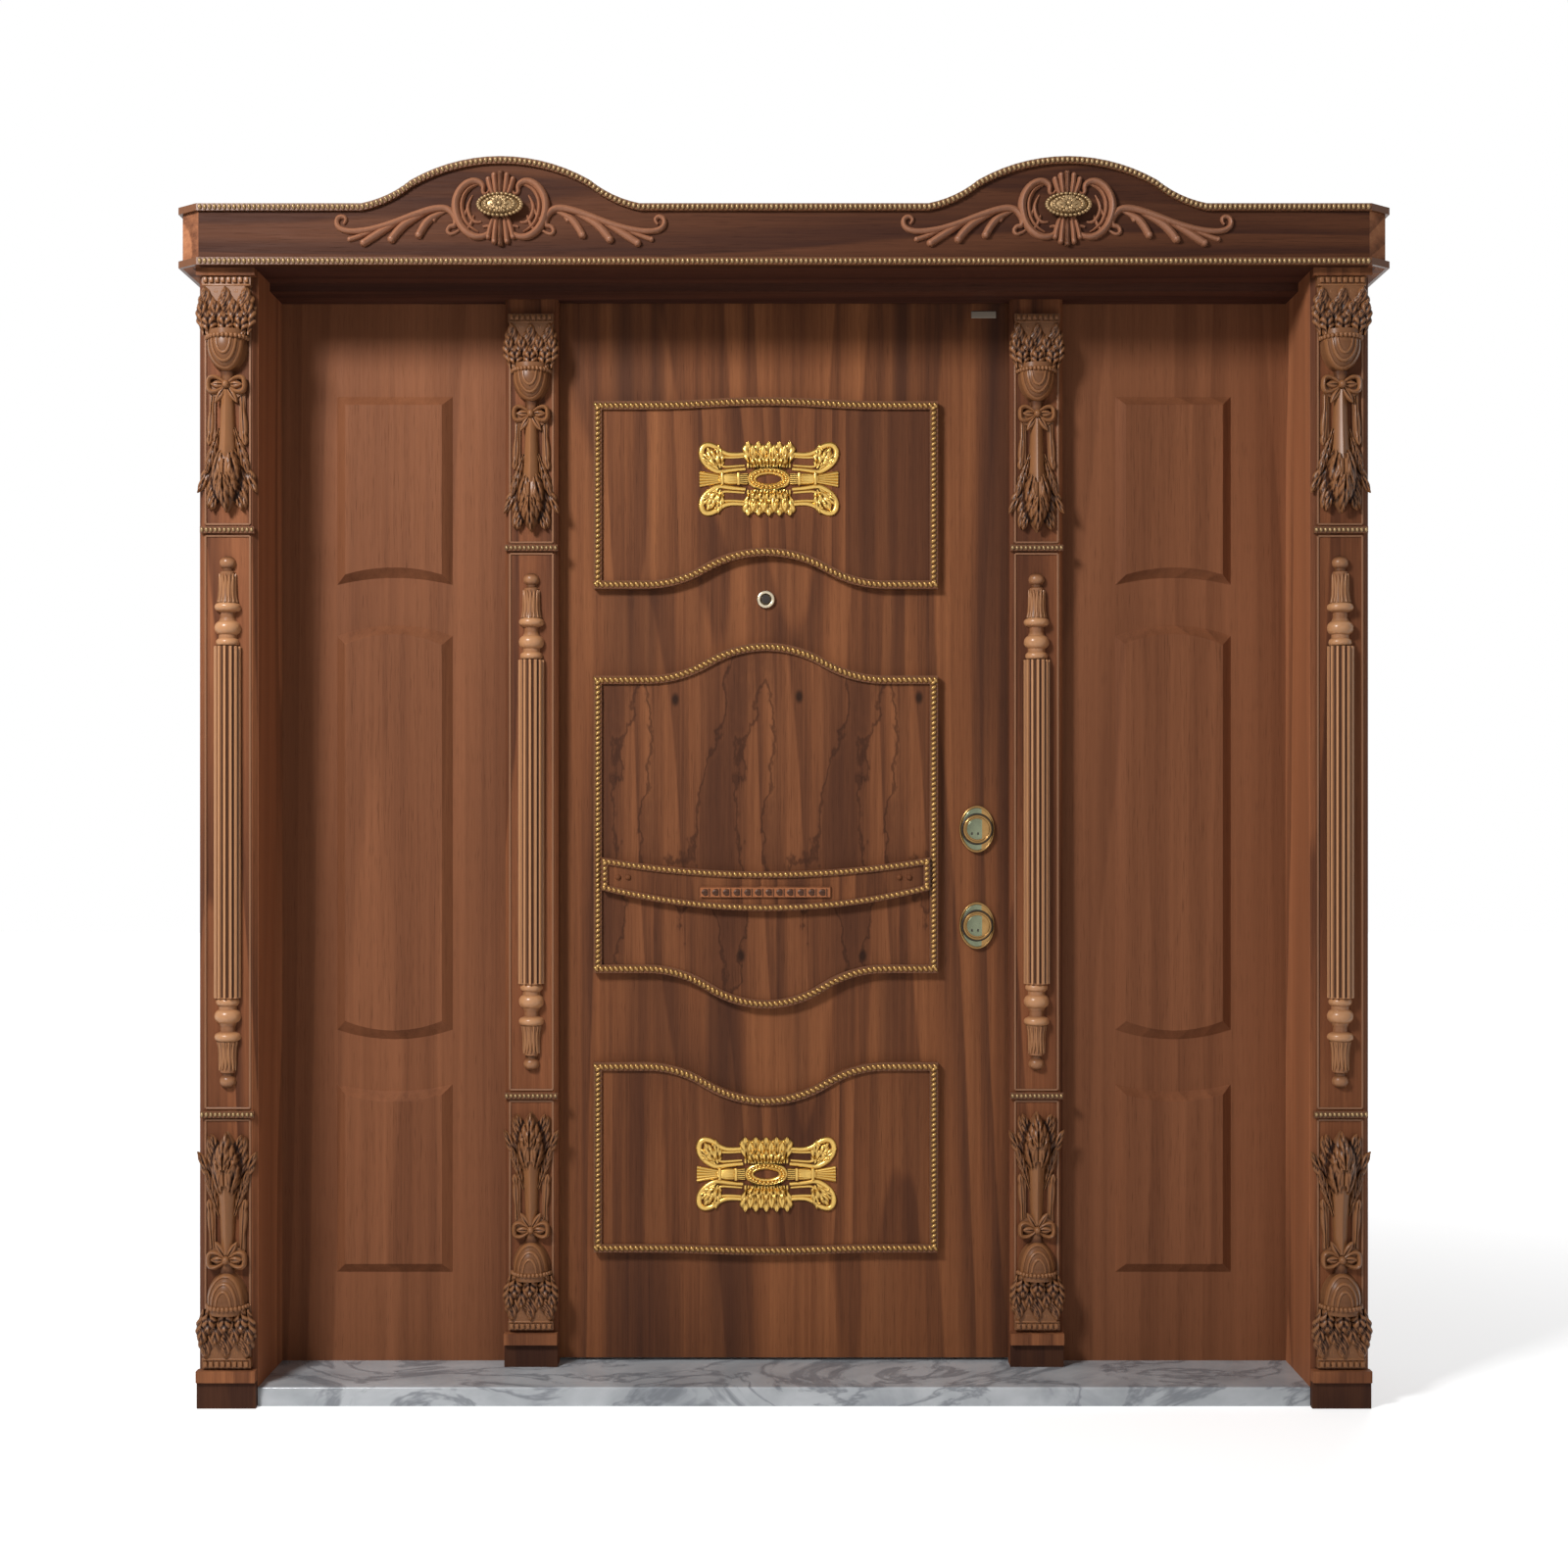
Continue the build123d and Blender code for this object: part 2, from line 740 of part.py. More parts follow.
# Sagging band across the middle panel, with its own trim and a carved strip
panel_front_y = leaf_front_y - panel_thickness


def band_outline():
    """Closed outline of the band, its head and foot sagging in the middle."""
    left = panel_centre_x - band_width / 2
    right = panel_centre_x + band_width / 2
    low, high = band_z
    ThreePointArc((left, low), (panel_centre_x, low + band_bow[0]), (right, low))
    Line((right, low), (right, high))
    ThreePointArc((right, high), (panel_centre_x, high + band_bow[1]), (left, high))
    Line((left, high), (left, low))


with BuildPart() as band:
    with BuildSketch(facing(panel_front_y)):
        with BuildLine():
            band_outline()
        make_face()
        offset(amount=-band_trim_width, kind=Kind.INTERSECTION, mode=Mode.REPLACE)
    extrude(amount=band_thickness)
    with BuildSketch(facing(panel_front_y - band_thickness)):
        with Locations((panel_centre_x, (sum(band_z) + sum(band_bow)) / 2)):
            Rectangle(band_strip_width, band_strip_height)
    extrude(amount=band_strip_rise)
save(band.part, "lock_band")
with BuildPart() as band_trim:
    with BuildSketch(facing(panel_front_y)):
        with BuildLine():
            band_outline()
        make_face()
    extrude(amount=band_trim_thickness)
    with BuildSketch(facing(panel_front_y)):
        with BuildLine():
            band_outline()
        make_face()
        offset(amount=-band_trim_width, kind=Kind.INTERSECTION, mode=Mode.REPLACE)
    extrude(amount=band_trim_thickness, mode=Mode.SUBTRACT)
save(band_trim.part, "band_rope_trim")

# Gilt mounts: an oval wreath with fans above and below and a loop at each corner
gilt_mounts = []
for z in mount_heights:
    with BuildPart() as mount:
        with BuildSketch(facing(panel_front_y)):
            with Locations((panel_centre_x, z)):
                Ellipse(0.3 * mount_size[0], 0.36 * mount_size[1])
                with GridLocations(0.62 * mount_size[0], 0.6 * mount_size[1], 2, 2):
                    Ellipse(0.19 * mount_size[0], 0.2 * mount_size[1])
                Rectangle(0.9 * mount_size[0], 0.3 * mount_size[1])
                with GridLocations(0, 0.7 * mount_size[1], 1, 2):
                    Ellipse(0.17 * mount_size[0], 0.15 * mount_size[1])
                Ellipse(0.2 * mount_size[0], 0.22 * mount_size[1], mode=Mode.SUBTRACT)
                with GridLocations(0.64 * mount_size[0], 0.6 * mount_size[1], 2, 2):
                    Ellipse(
                        0.09 * mount_size[0], 0.08 * mount_size[1], mode=Mode.SUBTRACT
                    )
        extrude(amount=mount_thickness)
    gilt_mounts.append(mount.part)
save(Compound(children=gilt_mounts), "gilt_mounts")

# Peephole: a ring round a domed lens
with BuildPart() as peephole:
    with BuildSketch(Plane((panel_centre_x, leaf_front_y, peephole_z), (0, 0, 1), (1, 0, 0))):
        with BuildLine():
            Line((0, 0), (peephole_radius, 0))
            Line((peephole_radius, 0), (peephole_radius, peephole_rim))
            ThreePointArc(
                (peephole_radius, peephole_rim),
                (0.78 * peephole_radius, 1.6 * peephole_rim),
                (0.55 * peephole_radius, peephole_rim),
            )
            Line((0.55 * peephole_radius, peephole_rim), (0.55 * peephole_radius, 2))
            Line((0.55 * peephole_radius, 2), (0, 2))
            Line((0, 2), (0, 0))
        make_face()
    revolve(axis=Axis((panel_centre_x, leaf_front_y, peephole_z), (0, 1, 0)))
    with BuildSketch(facing(leaf_front_y - 2)):
        with Locations((panel_centre_x, peephole_z)):
            Circle(0.5 * peephole_radius)
    extrude(amount=0.7 * peephole_rim)
save(peephole.part, "peephole")

# Lock escutcheons: an oval plate with a round cylinder guard on it
guards = []
for z in lock_heights:
    with BuildPart() as guard:
        with BuildSketch(facing(leaf_front_y)):
            with Locations((lock_x, z)):
                Ellipse(lock_size[0] / 2, lock_size[1] / 2)
        extrude(amount=lock_thickness)
        fillet(guard.faces().sort_by(Axis.Y)[0].edges(), 0.6 * lock_thickness)
        with BuildSketch(facing(leaf_front_y - lock_thickness)):
            with Locations((lock_x, z)):
                Circle(lock_core_radius)
        extrude(amount=lock_core_rise)
        fillet(guard.faces().sort_by(Axis.Y)[0].edges(), 0.5 * lock_core_rise)
    guards.append(guard.part)
save(Compound(children=guards), "lock_escutcheons")

# Plain round roses over the two locks on the inside
roses = []
for z in lock_heights:
    with BuildPart() as rose:
        with BuildSketch(facing(leaf_back_y)):
            with Locations((lock_x, z)):
                Circle(lock_core_radius)
        extrude(amount=-rose_thickness)
        fillet(rose.faces().sort_by(Axis.Y)[-1].edges(), 0.4 * rose_thickness)
    roses.append(rose.part)
save(Compound(children=roses), "inside_lock_roses")

# Barrel hinges on the inside: the frame's halves carry the pins, the leaf's halves turn on them
hinge_x = leaf_left_x - running_gap / 2
hinge_y = leaf_back_y + hinge_axis_gap
frame_halves = []
leaf_halves = []
for z in hinge_heights:
    with BuildPart() as frame_half:
        with BuildSketch(Plane((hinge_x, hinge_y, z))):
            Circle(hinge_radius)
        extrude(amount=hinge_knuckle)
        with BuildSketch(Plane((hinge_x, hinge_y, z + hinge_knuckle))):
            Circle(hinge_pin_radius)
        extrude(amount=hinge_pin_length)
        add(
            slab(
                (hinge_x - hinge_plate_width, hinge_x),
                (leaf_back_y, leaf_back_y + hinge_plate),
                (z, z + hinge_knuckle),
            )
        )
    frame_halves.append(frame_half.part)
    leaf_knuckle_z = z + hinge_knuckle + hinge_knuckle_gap
    with BuildPart() as leaf_half_hinge:
        add(
            slab(
                (leaf_left_x + 1, hinge_x + hinge_plate_width),
                (leaf_back_y, leaf_back_y + hinge_plate),
                (leaf_knuckle_z, leaf_knuckle_z + hinge_knuckle),
            )
        )
        with BuildSketch(Plane((hinge_x, hinge_y, leaf_knuckle_z))):
            Circle(hinge_radius)
        extrude(amount=hinge_knuckle)
        with BuildSketch(Plane((hinge_x, hinge_y, leaf_knuckle_z))):
            Circle(hinge_pin_radius + hinge_pin_clearance)
        extrude(amount=hinge_pin_length + 1, mode=Mode.SUBTRACT)
    leaf_halves.append(leaf_half_hinge.part)
save(Compound(children=frame_halves), "hinge_frame_halves")
save(Compound(children=leaf_halves), "hinge_leaf_halves")
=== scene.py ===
# %% [markdown]
# # An entrance door with carved pilasters
# This lesson dresses a finished door model: walnut veneer, carved leaves, rope mouldings,
# gilt mounts, brass locks and a marble sill. The solid model comes first and stays where
# it is, and every new piece is laid on it in metres.

# %% Load the solid model
from math import atan2, cos, hypot, pi, radians, sin, sqrt

import bpy
from mathutils import Matrix, Vector


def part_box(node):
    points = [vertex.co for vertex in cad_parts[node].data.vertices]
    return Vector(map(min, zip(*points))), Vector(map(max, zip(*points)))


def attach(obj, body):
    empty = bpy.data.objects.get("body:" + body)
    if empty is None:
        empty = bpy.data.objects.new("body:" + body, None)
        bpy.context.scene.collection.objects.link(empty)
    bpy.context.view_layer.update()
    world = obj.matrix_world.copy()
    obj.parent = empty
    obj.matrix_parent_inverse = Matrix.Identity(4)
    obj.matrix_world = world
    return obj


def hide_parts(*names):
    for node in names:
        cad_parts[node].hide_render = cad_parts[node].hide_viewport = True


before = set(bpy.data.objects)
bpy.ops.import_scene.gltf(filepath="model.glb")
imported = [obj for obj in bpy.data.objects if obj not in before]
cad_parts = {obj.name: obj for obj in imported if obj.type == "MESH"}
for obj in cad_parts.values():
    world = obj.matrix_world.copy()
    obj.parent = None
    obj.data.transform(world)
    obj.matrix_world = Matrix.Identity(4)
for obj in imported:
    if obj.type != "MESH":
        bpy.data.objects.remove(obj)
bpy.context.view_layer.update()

# %% [markdown]
# ## Two bench habits
# Operators act on whatever is selected, so each step starts with nothing selected.
# Relief carving is easiest flat on the bench, drawn in X and Y with its height along Z.
# When it is done it is stood upright and hung on the face that carries it.

# %% Bench helpers
MM = 0.001


def only(piece):
    """Selects one object and makes it the active one."""
    bpy.ops.object.select_all(action="DESELECT")
    piece.select_set(True)
    bpy.context.view_layer.objects.active = piece
    return piece


def settle(piece):
    """Writes an object's place, turn and size into its mesh."""
    only(piece)
    bpy.ops.object.transform_apply(location=True, rotation=True, scale=True)
    return piece


def apply_all(piece):
    """Applies the modifiers in their order."""
    only(piece)
    for modifier in list(piece.modifiers):
        bpy.ops.object.modifier_apply(modifier=modifier.name)
    return piece


def join(pieces, name):
    """Makes one object of several."""
    bpy.ops.object.select_all(action="DESELECT")
    for piece in pieces:
        piece.select_set(True)
    bpy.context.view_layer.objects.active = pieces[0]
    if len(pieces) > 1:
        bpy.ops.object.join()
    pieces[0].name = name
    return pieces[0]


def copy_of(piece):
    """A copy with its own mesh."""
    twin = piece.copy()
    twin.data = piece.data.copy()
    bpy.context.collection.objects.link(twin)
    return twin


def turn_faces(piece):
    """Turns all faces round, which a mirrored mesh needs to face outwards again."""
    only(piece)
    bpy.ops.object.mode_set(mode="EDIT")
    bpy.ops.mesh.select_all(action="SELECT")
    bpy.ops.mesh.flip_normals()
    bpy.ops.object.mode_set(mode="OBJECT")
    return piece


def lay(piece, x=0.0, y=0.0, z=0.0, turn=0.0, flip=False):
    """Moves a flat piece about on the bench, in millimetres and degrees."""
    piece.matrix_world = (
        Matrix.Translation((x * MM, y * MM, z * MM))
        @ Matrix.Rotation(radians(turn), 4, "Z")
        @ Matrix.Diagonal((-1 if flip else 1, 1, 1, 1))
    )
    settle(piece)
    return turn_faces(piece) if flip else piece


def hang(piece, x, face_y, z):
    """Stands a bench piece upright, facing outwards, on a face at that depth (metres)."""
    piece.matrix_world = Matrix.Translation((x, face_y, z)) @ Matrix.Rotation(pi / 2, 4, "X")
    return settle(piece)


def soften(piece, angle=40):
    """Smooth shading that keeps creases over the angle sharp."""
    only(piece)
    bpy.ops.object.shade_smooth_by_angle(angle=radians(angle))
    return piece


def arc_points(a, b, c, steps=14):
    """Points on the circle through three flat points."""
    ax, ay, bx, by, cx, cy = *a, *b, *c
    aa, bb, cc = ax**2 + ay**2, bx**2 + by**2, cx**2 + cy**2
    d = 2 * (ax * (by - cy) + bx * (cy - ay) + cx * (ay - by))
    ux = (aa * (by - cy) + bb * (cy - ay) + cc * (ay - by)) / d
    uy = (aa * (cx - bx) + bb * (ax - cx) + cc * (bx - ax)) / d
    r = hypot(ax - ux, ay - uy)
    start, end = atan2(ay - uy, ax - ux), atan2(cy - uy, cx - ux)
    angles = [start + (end - start) * i / steps for i in range(steps + 1)]
    return [(ux + r * cos(angle), uy + r * sin(angle)) for angle in angles]


def oval_points(rx, ry, count):
    """Evenly spaced points round an oval."""
    angles = [2 * pi * i / count for i in range(count)]
    return [(rx * cos(angle), ry * sin(angle)) for angle in angles]


# %% [markdown]
# ## Shader maths that reads as sums
# Finishes are sums of many small patterns, and adding each Math node by hand hides the sum.
# A wrapped socket lets `1 - mask` or `a * b + c` add the Math nodes it stands for.


# %% Sockets
class Wire:
    """One output socket of a finish, with the usual arithmetic."""

    def __init__(self, finish, socket):
        self.finish = finish
        self.socket = socket

    def maths(self, operation, first, second=None):
        sockets = {0: first} if second is None else {0: first, 1: second}
        return self.finish.node("ShaderNodeMath", {"operation": operation}, sockets)

    def __add__(self, other):
        return self.maths("ADD", self, other)

    __radd__ = __add__

    def __sub__(self, other):
        return self.maths("SUBTRACT", self, other)

    def __rsub__(self, other):
        return self.maths("SUBTRACT", other, self)

    def __mul__(self, other):
        return self.maths("MULTIPLY", self, other)

    __rmul__ = __mul__

    def __truediv__(self, other):
        return self.maths("DIVIDE", self, other)

    def __pow__(self, other):
        return self.maths("POWER", self, other)

    def fract(self):
        return self.maths("FRACT", self)

    def size(self):
        return self.maths("ABSOLUTE", self)

    def either(self, other):
        return self.maths("MAXIMUM", self, other)


# %% Finishes
class Finish:
    """A material, or the world, whose nodes are added one call at a time."""

    def __init__(self, name, world=None):
        self.material = world or bpy.data.materials.new(name)
        self.material.use_nodes = True
        self.tree = self.material.node_tree
        self.shader = self.tree.nodes["Background" if world else "Principled BSDF"]
        self.here = self.node("ShaderNodeTexCoord", out="Object")

    def node(self, kind, settings=None, sockets=None, out=0):
        node = self.tree.nodes.new(kind)
        for key, value in (settings or {}).items():
            if key == "stops":
                ramp = node.color_ramp
                while len(ramp.elements) < len(value):
                    ramp.elements.new(0.5)
                for element, (position, colour) in zip(ramp.elements, value):
                    element.position = position
                    element.color = (*colour, 1)
            else:
                setattr(node, key, value)
        for key, value in (sockets or {}).items():
            self.plug(node.inputs[key], value)
        return Wire(self, node.outputs[out])

    def plug(self, socket, value):
        if isinstance(value, Wire):
            self.tree.links.new(value.socket, socket)
        else:
            socket.default_value = value

    def set(self, **inputs):
        """Sets or links inputs of the shader; Coat_Weight stands for Coat Weight."""
        for key, value in inputs.items():
            self.plug(self.shader.inputs[key.replace("_", " ")], value)
        return self

    def axes(self):
        """The place on the object as three sockets, in metres."""
        return [self.node("ShaderNodeSeparateXYZ", None, {"Vector": self.here}, out=i) for i in range(3)]

    def stretched(self, scale, shift=(0, 0, 0)):
        sockets = {"Vector": self.here, "Scale": scale, "Location": shift}
        return self.node("ShaderNodeMapping", None, sockets)

    def noise(self, vector, scale, detail=3.0, rough=0.5, distortion=0.0):
        sockets = {
            "Vector": vector,
            "Scale": scale,
            "Detail": detail,
            "Roughness": rough,
            "Distortion": distortion,
        }
        return self.node("ShaderNodeTexNoise", None, sockets)

    def ramp(self, value, stops):
        return self.node("ShaderNodeValToRGB", {"stops": stops}, {"Fac": value})

    def blend(self, factor, first, second):
        settings = {"data_type": "RGBA", "blend_type": "MIX"}
        sockets = {0: factor, 6: first, 7: second}
        return self.node("ShaderNodeMix", settings, sockets, out=2)

    def span(self, value, low, high, to_low=0.0, to_high=1.0):
        sockets = {
            "Value": value,
            "From Min": low,
            "From Max": high,
            "To Min": to_low,
            "To Max": to_high,
        }
        return self.node("ShaderNodeMapRange", {"interpolation_type": "SMOOTHSTEP"}, sockets)

    def in_view(self):
        """1 where the stage itself is looked at: straight, in a gloss or through glass."""
        rays = ("Camera", "Glossy", "Transmission")
        straight, gloss, glass = [self.node("ShaderNodeLightPath", out=f"Is {ray} Ray") for ray in rays]
        return straight.either(gloss).either(glass)

    def bump(self, height, strength, distance):
        sockets = {"Height": height, "Strength": strength, "Distance": distance}
        return self.set(Normal=self.node("ShaderNodeBump", None, sockets))


# %% [markdown]
# ## Walnut veneer
# Thin walnut veneer covers the door. A picture of wood could be wrapped round the boards,
# but each would then show the same tree, so the grain is made of noises and every board
# gets its own. A smooth noise, drawn out along the grain, stands for the tree's layers.
# Its contour lines are the growth rings, its low places the dark heartwood streaks, and
# two finer noises add fibres and pores.


# %% Walnut
def walnut(
    name, pale, mid, dark, along="Z", layers=3.0, rings=16, ring_depth=0.3, streaks=0.6, shift=0.0,
    figure=0.0, repeat=0.0,
):
    """A walnut finish: along is the grain's axis, layers its breadth, rings the line count.

    A figure adds dark blots with wavy outlines. A repeat lays the same veneer leaf side by side.
    """
    finish = Finish(name)
    if repeat:
        x, y, z = finish.axes()
        across = (x / repeat + 0.06).fract() * repeat
        finish.here = finish.node("ShaderNodeCombineXYZ", None, {"X": across, "Y": y, "Z": z})

    def drawn_out(share):
        squeeze = (share, 1, 1) if along == "X" else (1, 1, share)
        return finish.stretched(squeeze, shift=(shift, 0.7 * shift, 0.4 * shift))

    field = finish.noise(drawn_out(0.06), layers, 1.0, 0.4)
    ripple = finish.noise(drawn_out(0.15), layers * 6, 2.0) * 0.012
    ring = ((field + ripple) * rings).fract()
    ring_tone = finish.span(ring, 0.2, 0.9) * (1 - finish.span(ring, 0.92, 1.0))
    streak = finish.noise(drawn_out(0.03), layers * 2.2, 3.0, 0.6)
    streak_tone = finish.span(streak + ripple, 0.44, 0.72)
    hair = finish.noise(drawn_out(0.014), layers * 26, 3.0, 0.65)
    fibre = finish.noise(drawn_out(0.03), 380, 2.0)
    pores = finish.span(finish.noise(drawn_out(0.022), 900, 1.0), 0.6, 0.72)
    wood = finish.ramp(
        field * 0.35 + hair * 0.6 + ring_tone * ring_depth + fibre * 0.12,
        [(0.3, pale), (0.6, mid), (1.0, dark)],
    )
    wood = finish.blend(streak_tone * streaks, wood, (*dark, 1))
    if figure:
        wander = finish.noise(drawn_out(0.55), layers * 8, 3.0, 0.55)
        blot = finish.noise(drawn_out(0.22), layers * 1.7, 1.0, 0.4) + wander * 0.16
        wood = finish.blend(finish.span(blot, 0.60, 0.70) * 0.42 * figure, wood, (*dark, 1))
        outline = 1 - finish.span((blot - 0.64).size(), 0.0, 0.016)
        wood = finish.blend(outline * 0.6 * figure, wood, (*[0.6 * c for c in dark], 1))
    wood = finish.blend(pores * 0.4, wood, (*[0.5 * c for c in dark], 1))
    finish.wood = wood
    finish.set(
        Base_Color=wood,
        Roughness=finish.span(fibre + pores * 0.3, 0.2, 1.0, 0.56, 0.72),
        Specular_IOR_Level=0.10,
    )
    finish.bump(fibre * 0.3 - pores, 0.16, 0.0006)
    return finish


# %% Veneers of the leaf and the side panels
leaf_veneer = walnut(
    "leaf veneer", (0.300, 0.111, 0.043), (0.185, 0.065, 0.026), (0.050, 0.019, 0.011),
    layers=3.4, rings=11, ring_depth=0.26, streaks=0.95,
)
panel_veneer = walnut(
    "raised panel veneer", (0.285, 0.106, 0.041), (0.180, 0.063, 0.025), (0.050, 0.018, 0.010),
    layers=4.0, rings=13, ring_depth=0.26, streaks=0.85, shift=2.3,
)
side_veneer = walnut(
    "side panel veneer", (0.270, 0.102, 0.046), (0.200, 0.074, 0.033), (0.105, 0.037, 0.017),
    layers=2.2, rings=16, ring_depth=0.18, streaks=0.25, shift=3.1,
)
print("plain veneers of leaf and side panels ready")

# %% [markdown]
# The casings are the same walnut as the pilasters, with painted light that makes the side
# facing the door paler. The blocks at the foot have a black base, lower on the outer
# pilasters. Both could be pieces of their own, but a mask on the place keeps each board whole.

# %% Walnut of pilasters, casings, reveals and blocks
pilaster_tones = (0.290, 0.105, 0.043), (0.180, 0.062, 0.026), (0.070, 0.024, 0.012)
pilaster_grain = {"layers": 5.0, "rings": 9, "ring_depth": 0.35, "streaks": 0.45, "shift": 7.7}
pilaster_wood = walnut("pilaster walnut", *pilaster_tones, **pilaster_grain)
casing_wood = walnut("casing walnut", *pilaster_tones, **pilaster_grain)
casing_side_x = 0.996
x, y, z = casing_wood.axes()
# Painted light: the side of each casing that faces the door is made paler, as where it is lit.
lit_door_side = casing_wood.span(x.size(), casing_side_x - 0.0006, casing_side_x, 0.5, 0.0)
casing_wood.set(Base_Color=casing_wood.blend(lit_door_side, casing_wood.wood, (0.44, 0.165, 0.072, 1)))
# The jambs get a much paler walnut: painted light on the lit reveals.
reveal_wood = walnut(
    "reveal walnut", (0.460, 0.180, 0.080), (0.340, 0.128, 0.056), (0.170, 0.061, 0.028),
    layers=5.0, rings=9, ring_depth=0.35, streaks=0.3, shift=6.1,
)
block_wood = walnut(
    "base walnut", (0.340, 0.130, 0.054), (0.230, 0.085, 0.036), (0.110, 0.040, 0.020),
    layers=6.0, rings=9, ring_depth=0.3, streaks=0.4, shift=9.2,
)
inner_base, outer_base = 0.081, 0.050
x, y, z = block_wood.axes()
level = z + (inner_base - outer_base) * block_wood.span(x.size(), 0.8, 0.81)
base = 1 - block_wood.span(level, inner_base - 0.0002, inner_base + 0.0004)
block_wood.set(Base_Color=block_wood.blend(base * 0.82, block_wood.wood, (0.020, 0.008, 0.006, 1)))
print("pilaster, casing, reveal and block walnut ready")

# %% [markdown]
# The middle panel is the showpiece: one figured veneer leaf repeats side by side, and five
# knots sit in it. Knots in a noise fall anywhere, so these are spots at chosen places.

# %% Figured veneer and cornice walnut
figured_veneer = walnut(
    "figured panel veneer", (0.275, 0.102, 0.041), (0.172, 0.061, 0.025), (0.046, 0.017, 0.010),
    layers=4.6, rings=9, ring_depth=0.22, streaks=0.55, shift=2.9, figure=1.0, repeat=0.243,
)
knots = ((-0.215, 1.346), (0.030, 1.352), (0.267, 1.350), (-0.085, 0.839), (0.156, 0.839))
knot_brown = (0.016, 0.007, 0.004, 1)
figured_veneer.here = figured_veneer.node("ShaderNodeTexCoord", out="Object")
x, y, z = figured_veneer.axes()
figured = figured_veneer.wood
for knot_x, knot_z in knots:
    away = ((x - knot_x) ** 2 + ((z - knot_z) * 0.6) ** 2) ** 0.5
    spot = figured_veneer.span(away, 0.003, 0.011, 0.9, 0.0)
    figured = figured_veneer.blend(spot, figured, knot_brown)
figured_veneer.set(Base_Color=figured)
cornice_wood = walnut(
    "cornice walnut", (0.113, 0.041, 0.019), (0.074, 0.026, 0.012), (0.032, 0.011, 0.007),
    along="X", layers=4.0, rings=12, ring_depth=0.35, streaks=0.5, shift=1.9,
)
# The cornice ends are the cornice walnut made far paler: painted light on their lit facets.
return_wood = walnut(
    "cornice end walnut", (0.500, 0.225, 0.106), (0.360, 0.143, 0.068), (0.130, 0.048, 0.024),
    along="X", layers=4.0, rings=12, ring_depth=0.35, streaks=0.2, shift=4.4,
)
soffit_wood = walnut(
    "soffit walnut", (0.110, 0.040, 0.023), (0.070, 0.025, 0.015), (0.032, 0.011, 0.008),
    along="X", layers=4.0, rings=10, shift=5.0,
)
print("figured veneer with", len(knots), "knots and cornice walnut ready")

# %% [markdown]
# ## Carver's walnut
# Carving gets painted shade in its hollows and a painted highlight on its crests. Both
# could be painted by hand, but the Geometry node's pointiness finds them on any carving.


# %% Carved wood
def carved(name, pale, mid, dark, gloss=0.22):
    """Carved wood with painted shade in its hollows and a painted highlight on its crests, which also
    take the gloss.
    """
    finish = Finish(name)
    edge = finish.node("ShaderNodeNewGeometry", out="Pointiness")
    grain = finish.noise(finish.stretched((1, 1, 0.12)), 160, 3.0)
    # Pointiness paints shade into the hollows (0) and a highlight on the crests (1).
    carved_light = finish.span(edge + grain * 0.02, 0.46, 0.555)
    colour = finish.ramp(carved_light, [(0.0, dark), (0.5, mid), (1.0, pale)])
    colour = finish.blend(grain * 0.25, colour, (*dark, 1))
    finish.set(Base_Color=colour, Roughness=0.48 - carved_light * 0.16, Specular_IOR_Level=0.12)
    finish.set(Coat_Weight=carved_light * gloss, Coat_Roughness=0.32)
    finish.bump(grain, 0.12, 0.0005)
    return finish


carved_wood = carved(
    "carved walnut", (0.280, 0.119, 0.047), (0.062, 0.022, 0.009), (0.008, 0.003, 0.002)
)
# A darker ground: painted shade under and between the carved and beaded pieces laid on it.
carving_ground = carved(
    "carving ground with painted shade", (0.170, 0.066, 0.028), (0.105, 0.039, 0.017), (0.022, 0.008, 0.004)
)
drop_body_wood = carved(
    "drop body walnut", (0.220, 0.094, 0.039), (0.125, 0.048, 0.020), (0.030, 0.011, 0.005), gloss=0.12
)
# Dark arrow pieces: painted shade standing for the shade inside the arrow cuts.
arrow_wood = carved(
    "arrow cut walnut", (0.100, 0.036, 0.015), (0.045, 0.016, 0.007), (0.010, 0.004, 0.002)
)
strip_wood = carved(
    "arrow strip walnut", (0.36, 0.125, 0.046), (0.250, 0.080, 0.029), (0.045, 0.015, 0.007)
)
cup_wood = carved(
    "leaf cup walnut", (0.400, 0.185, 0.080), (0.150, 0.058, 0.024), (0.014, 0.005, 0.002)
)
# Fillets with the carved finish's painted highlight on their crests, so they catch the light.
fillet_wood = carved(
    "fillet walnut with painted highlight", (0.270, 0.125, 0.062), (0.170, 0.068, 0.032), (0.050, 0.019, 0.009)
)
scroll_wood = carved(
    "cornice carving", (0.310, 0.130, 0.068), (0.105, 0.039, 0.021), (0.010, 0.004, 0.002), gloss=0.45
)
print("carved finishes ready")

# %% [markdown]
# On a turning the distance from its axis tells more than pointiness, which depends on how
# fine the mesh is: necks and flutes lie near the axis and get painted shade, rings and
# arrises stand out and get a painted highlight.


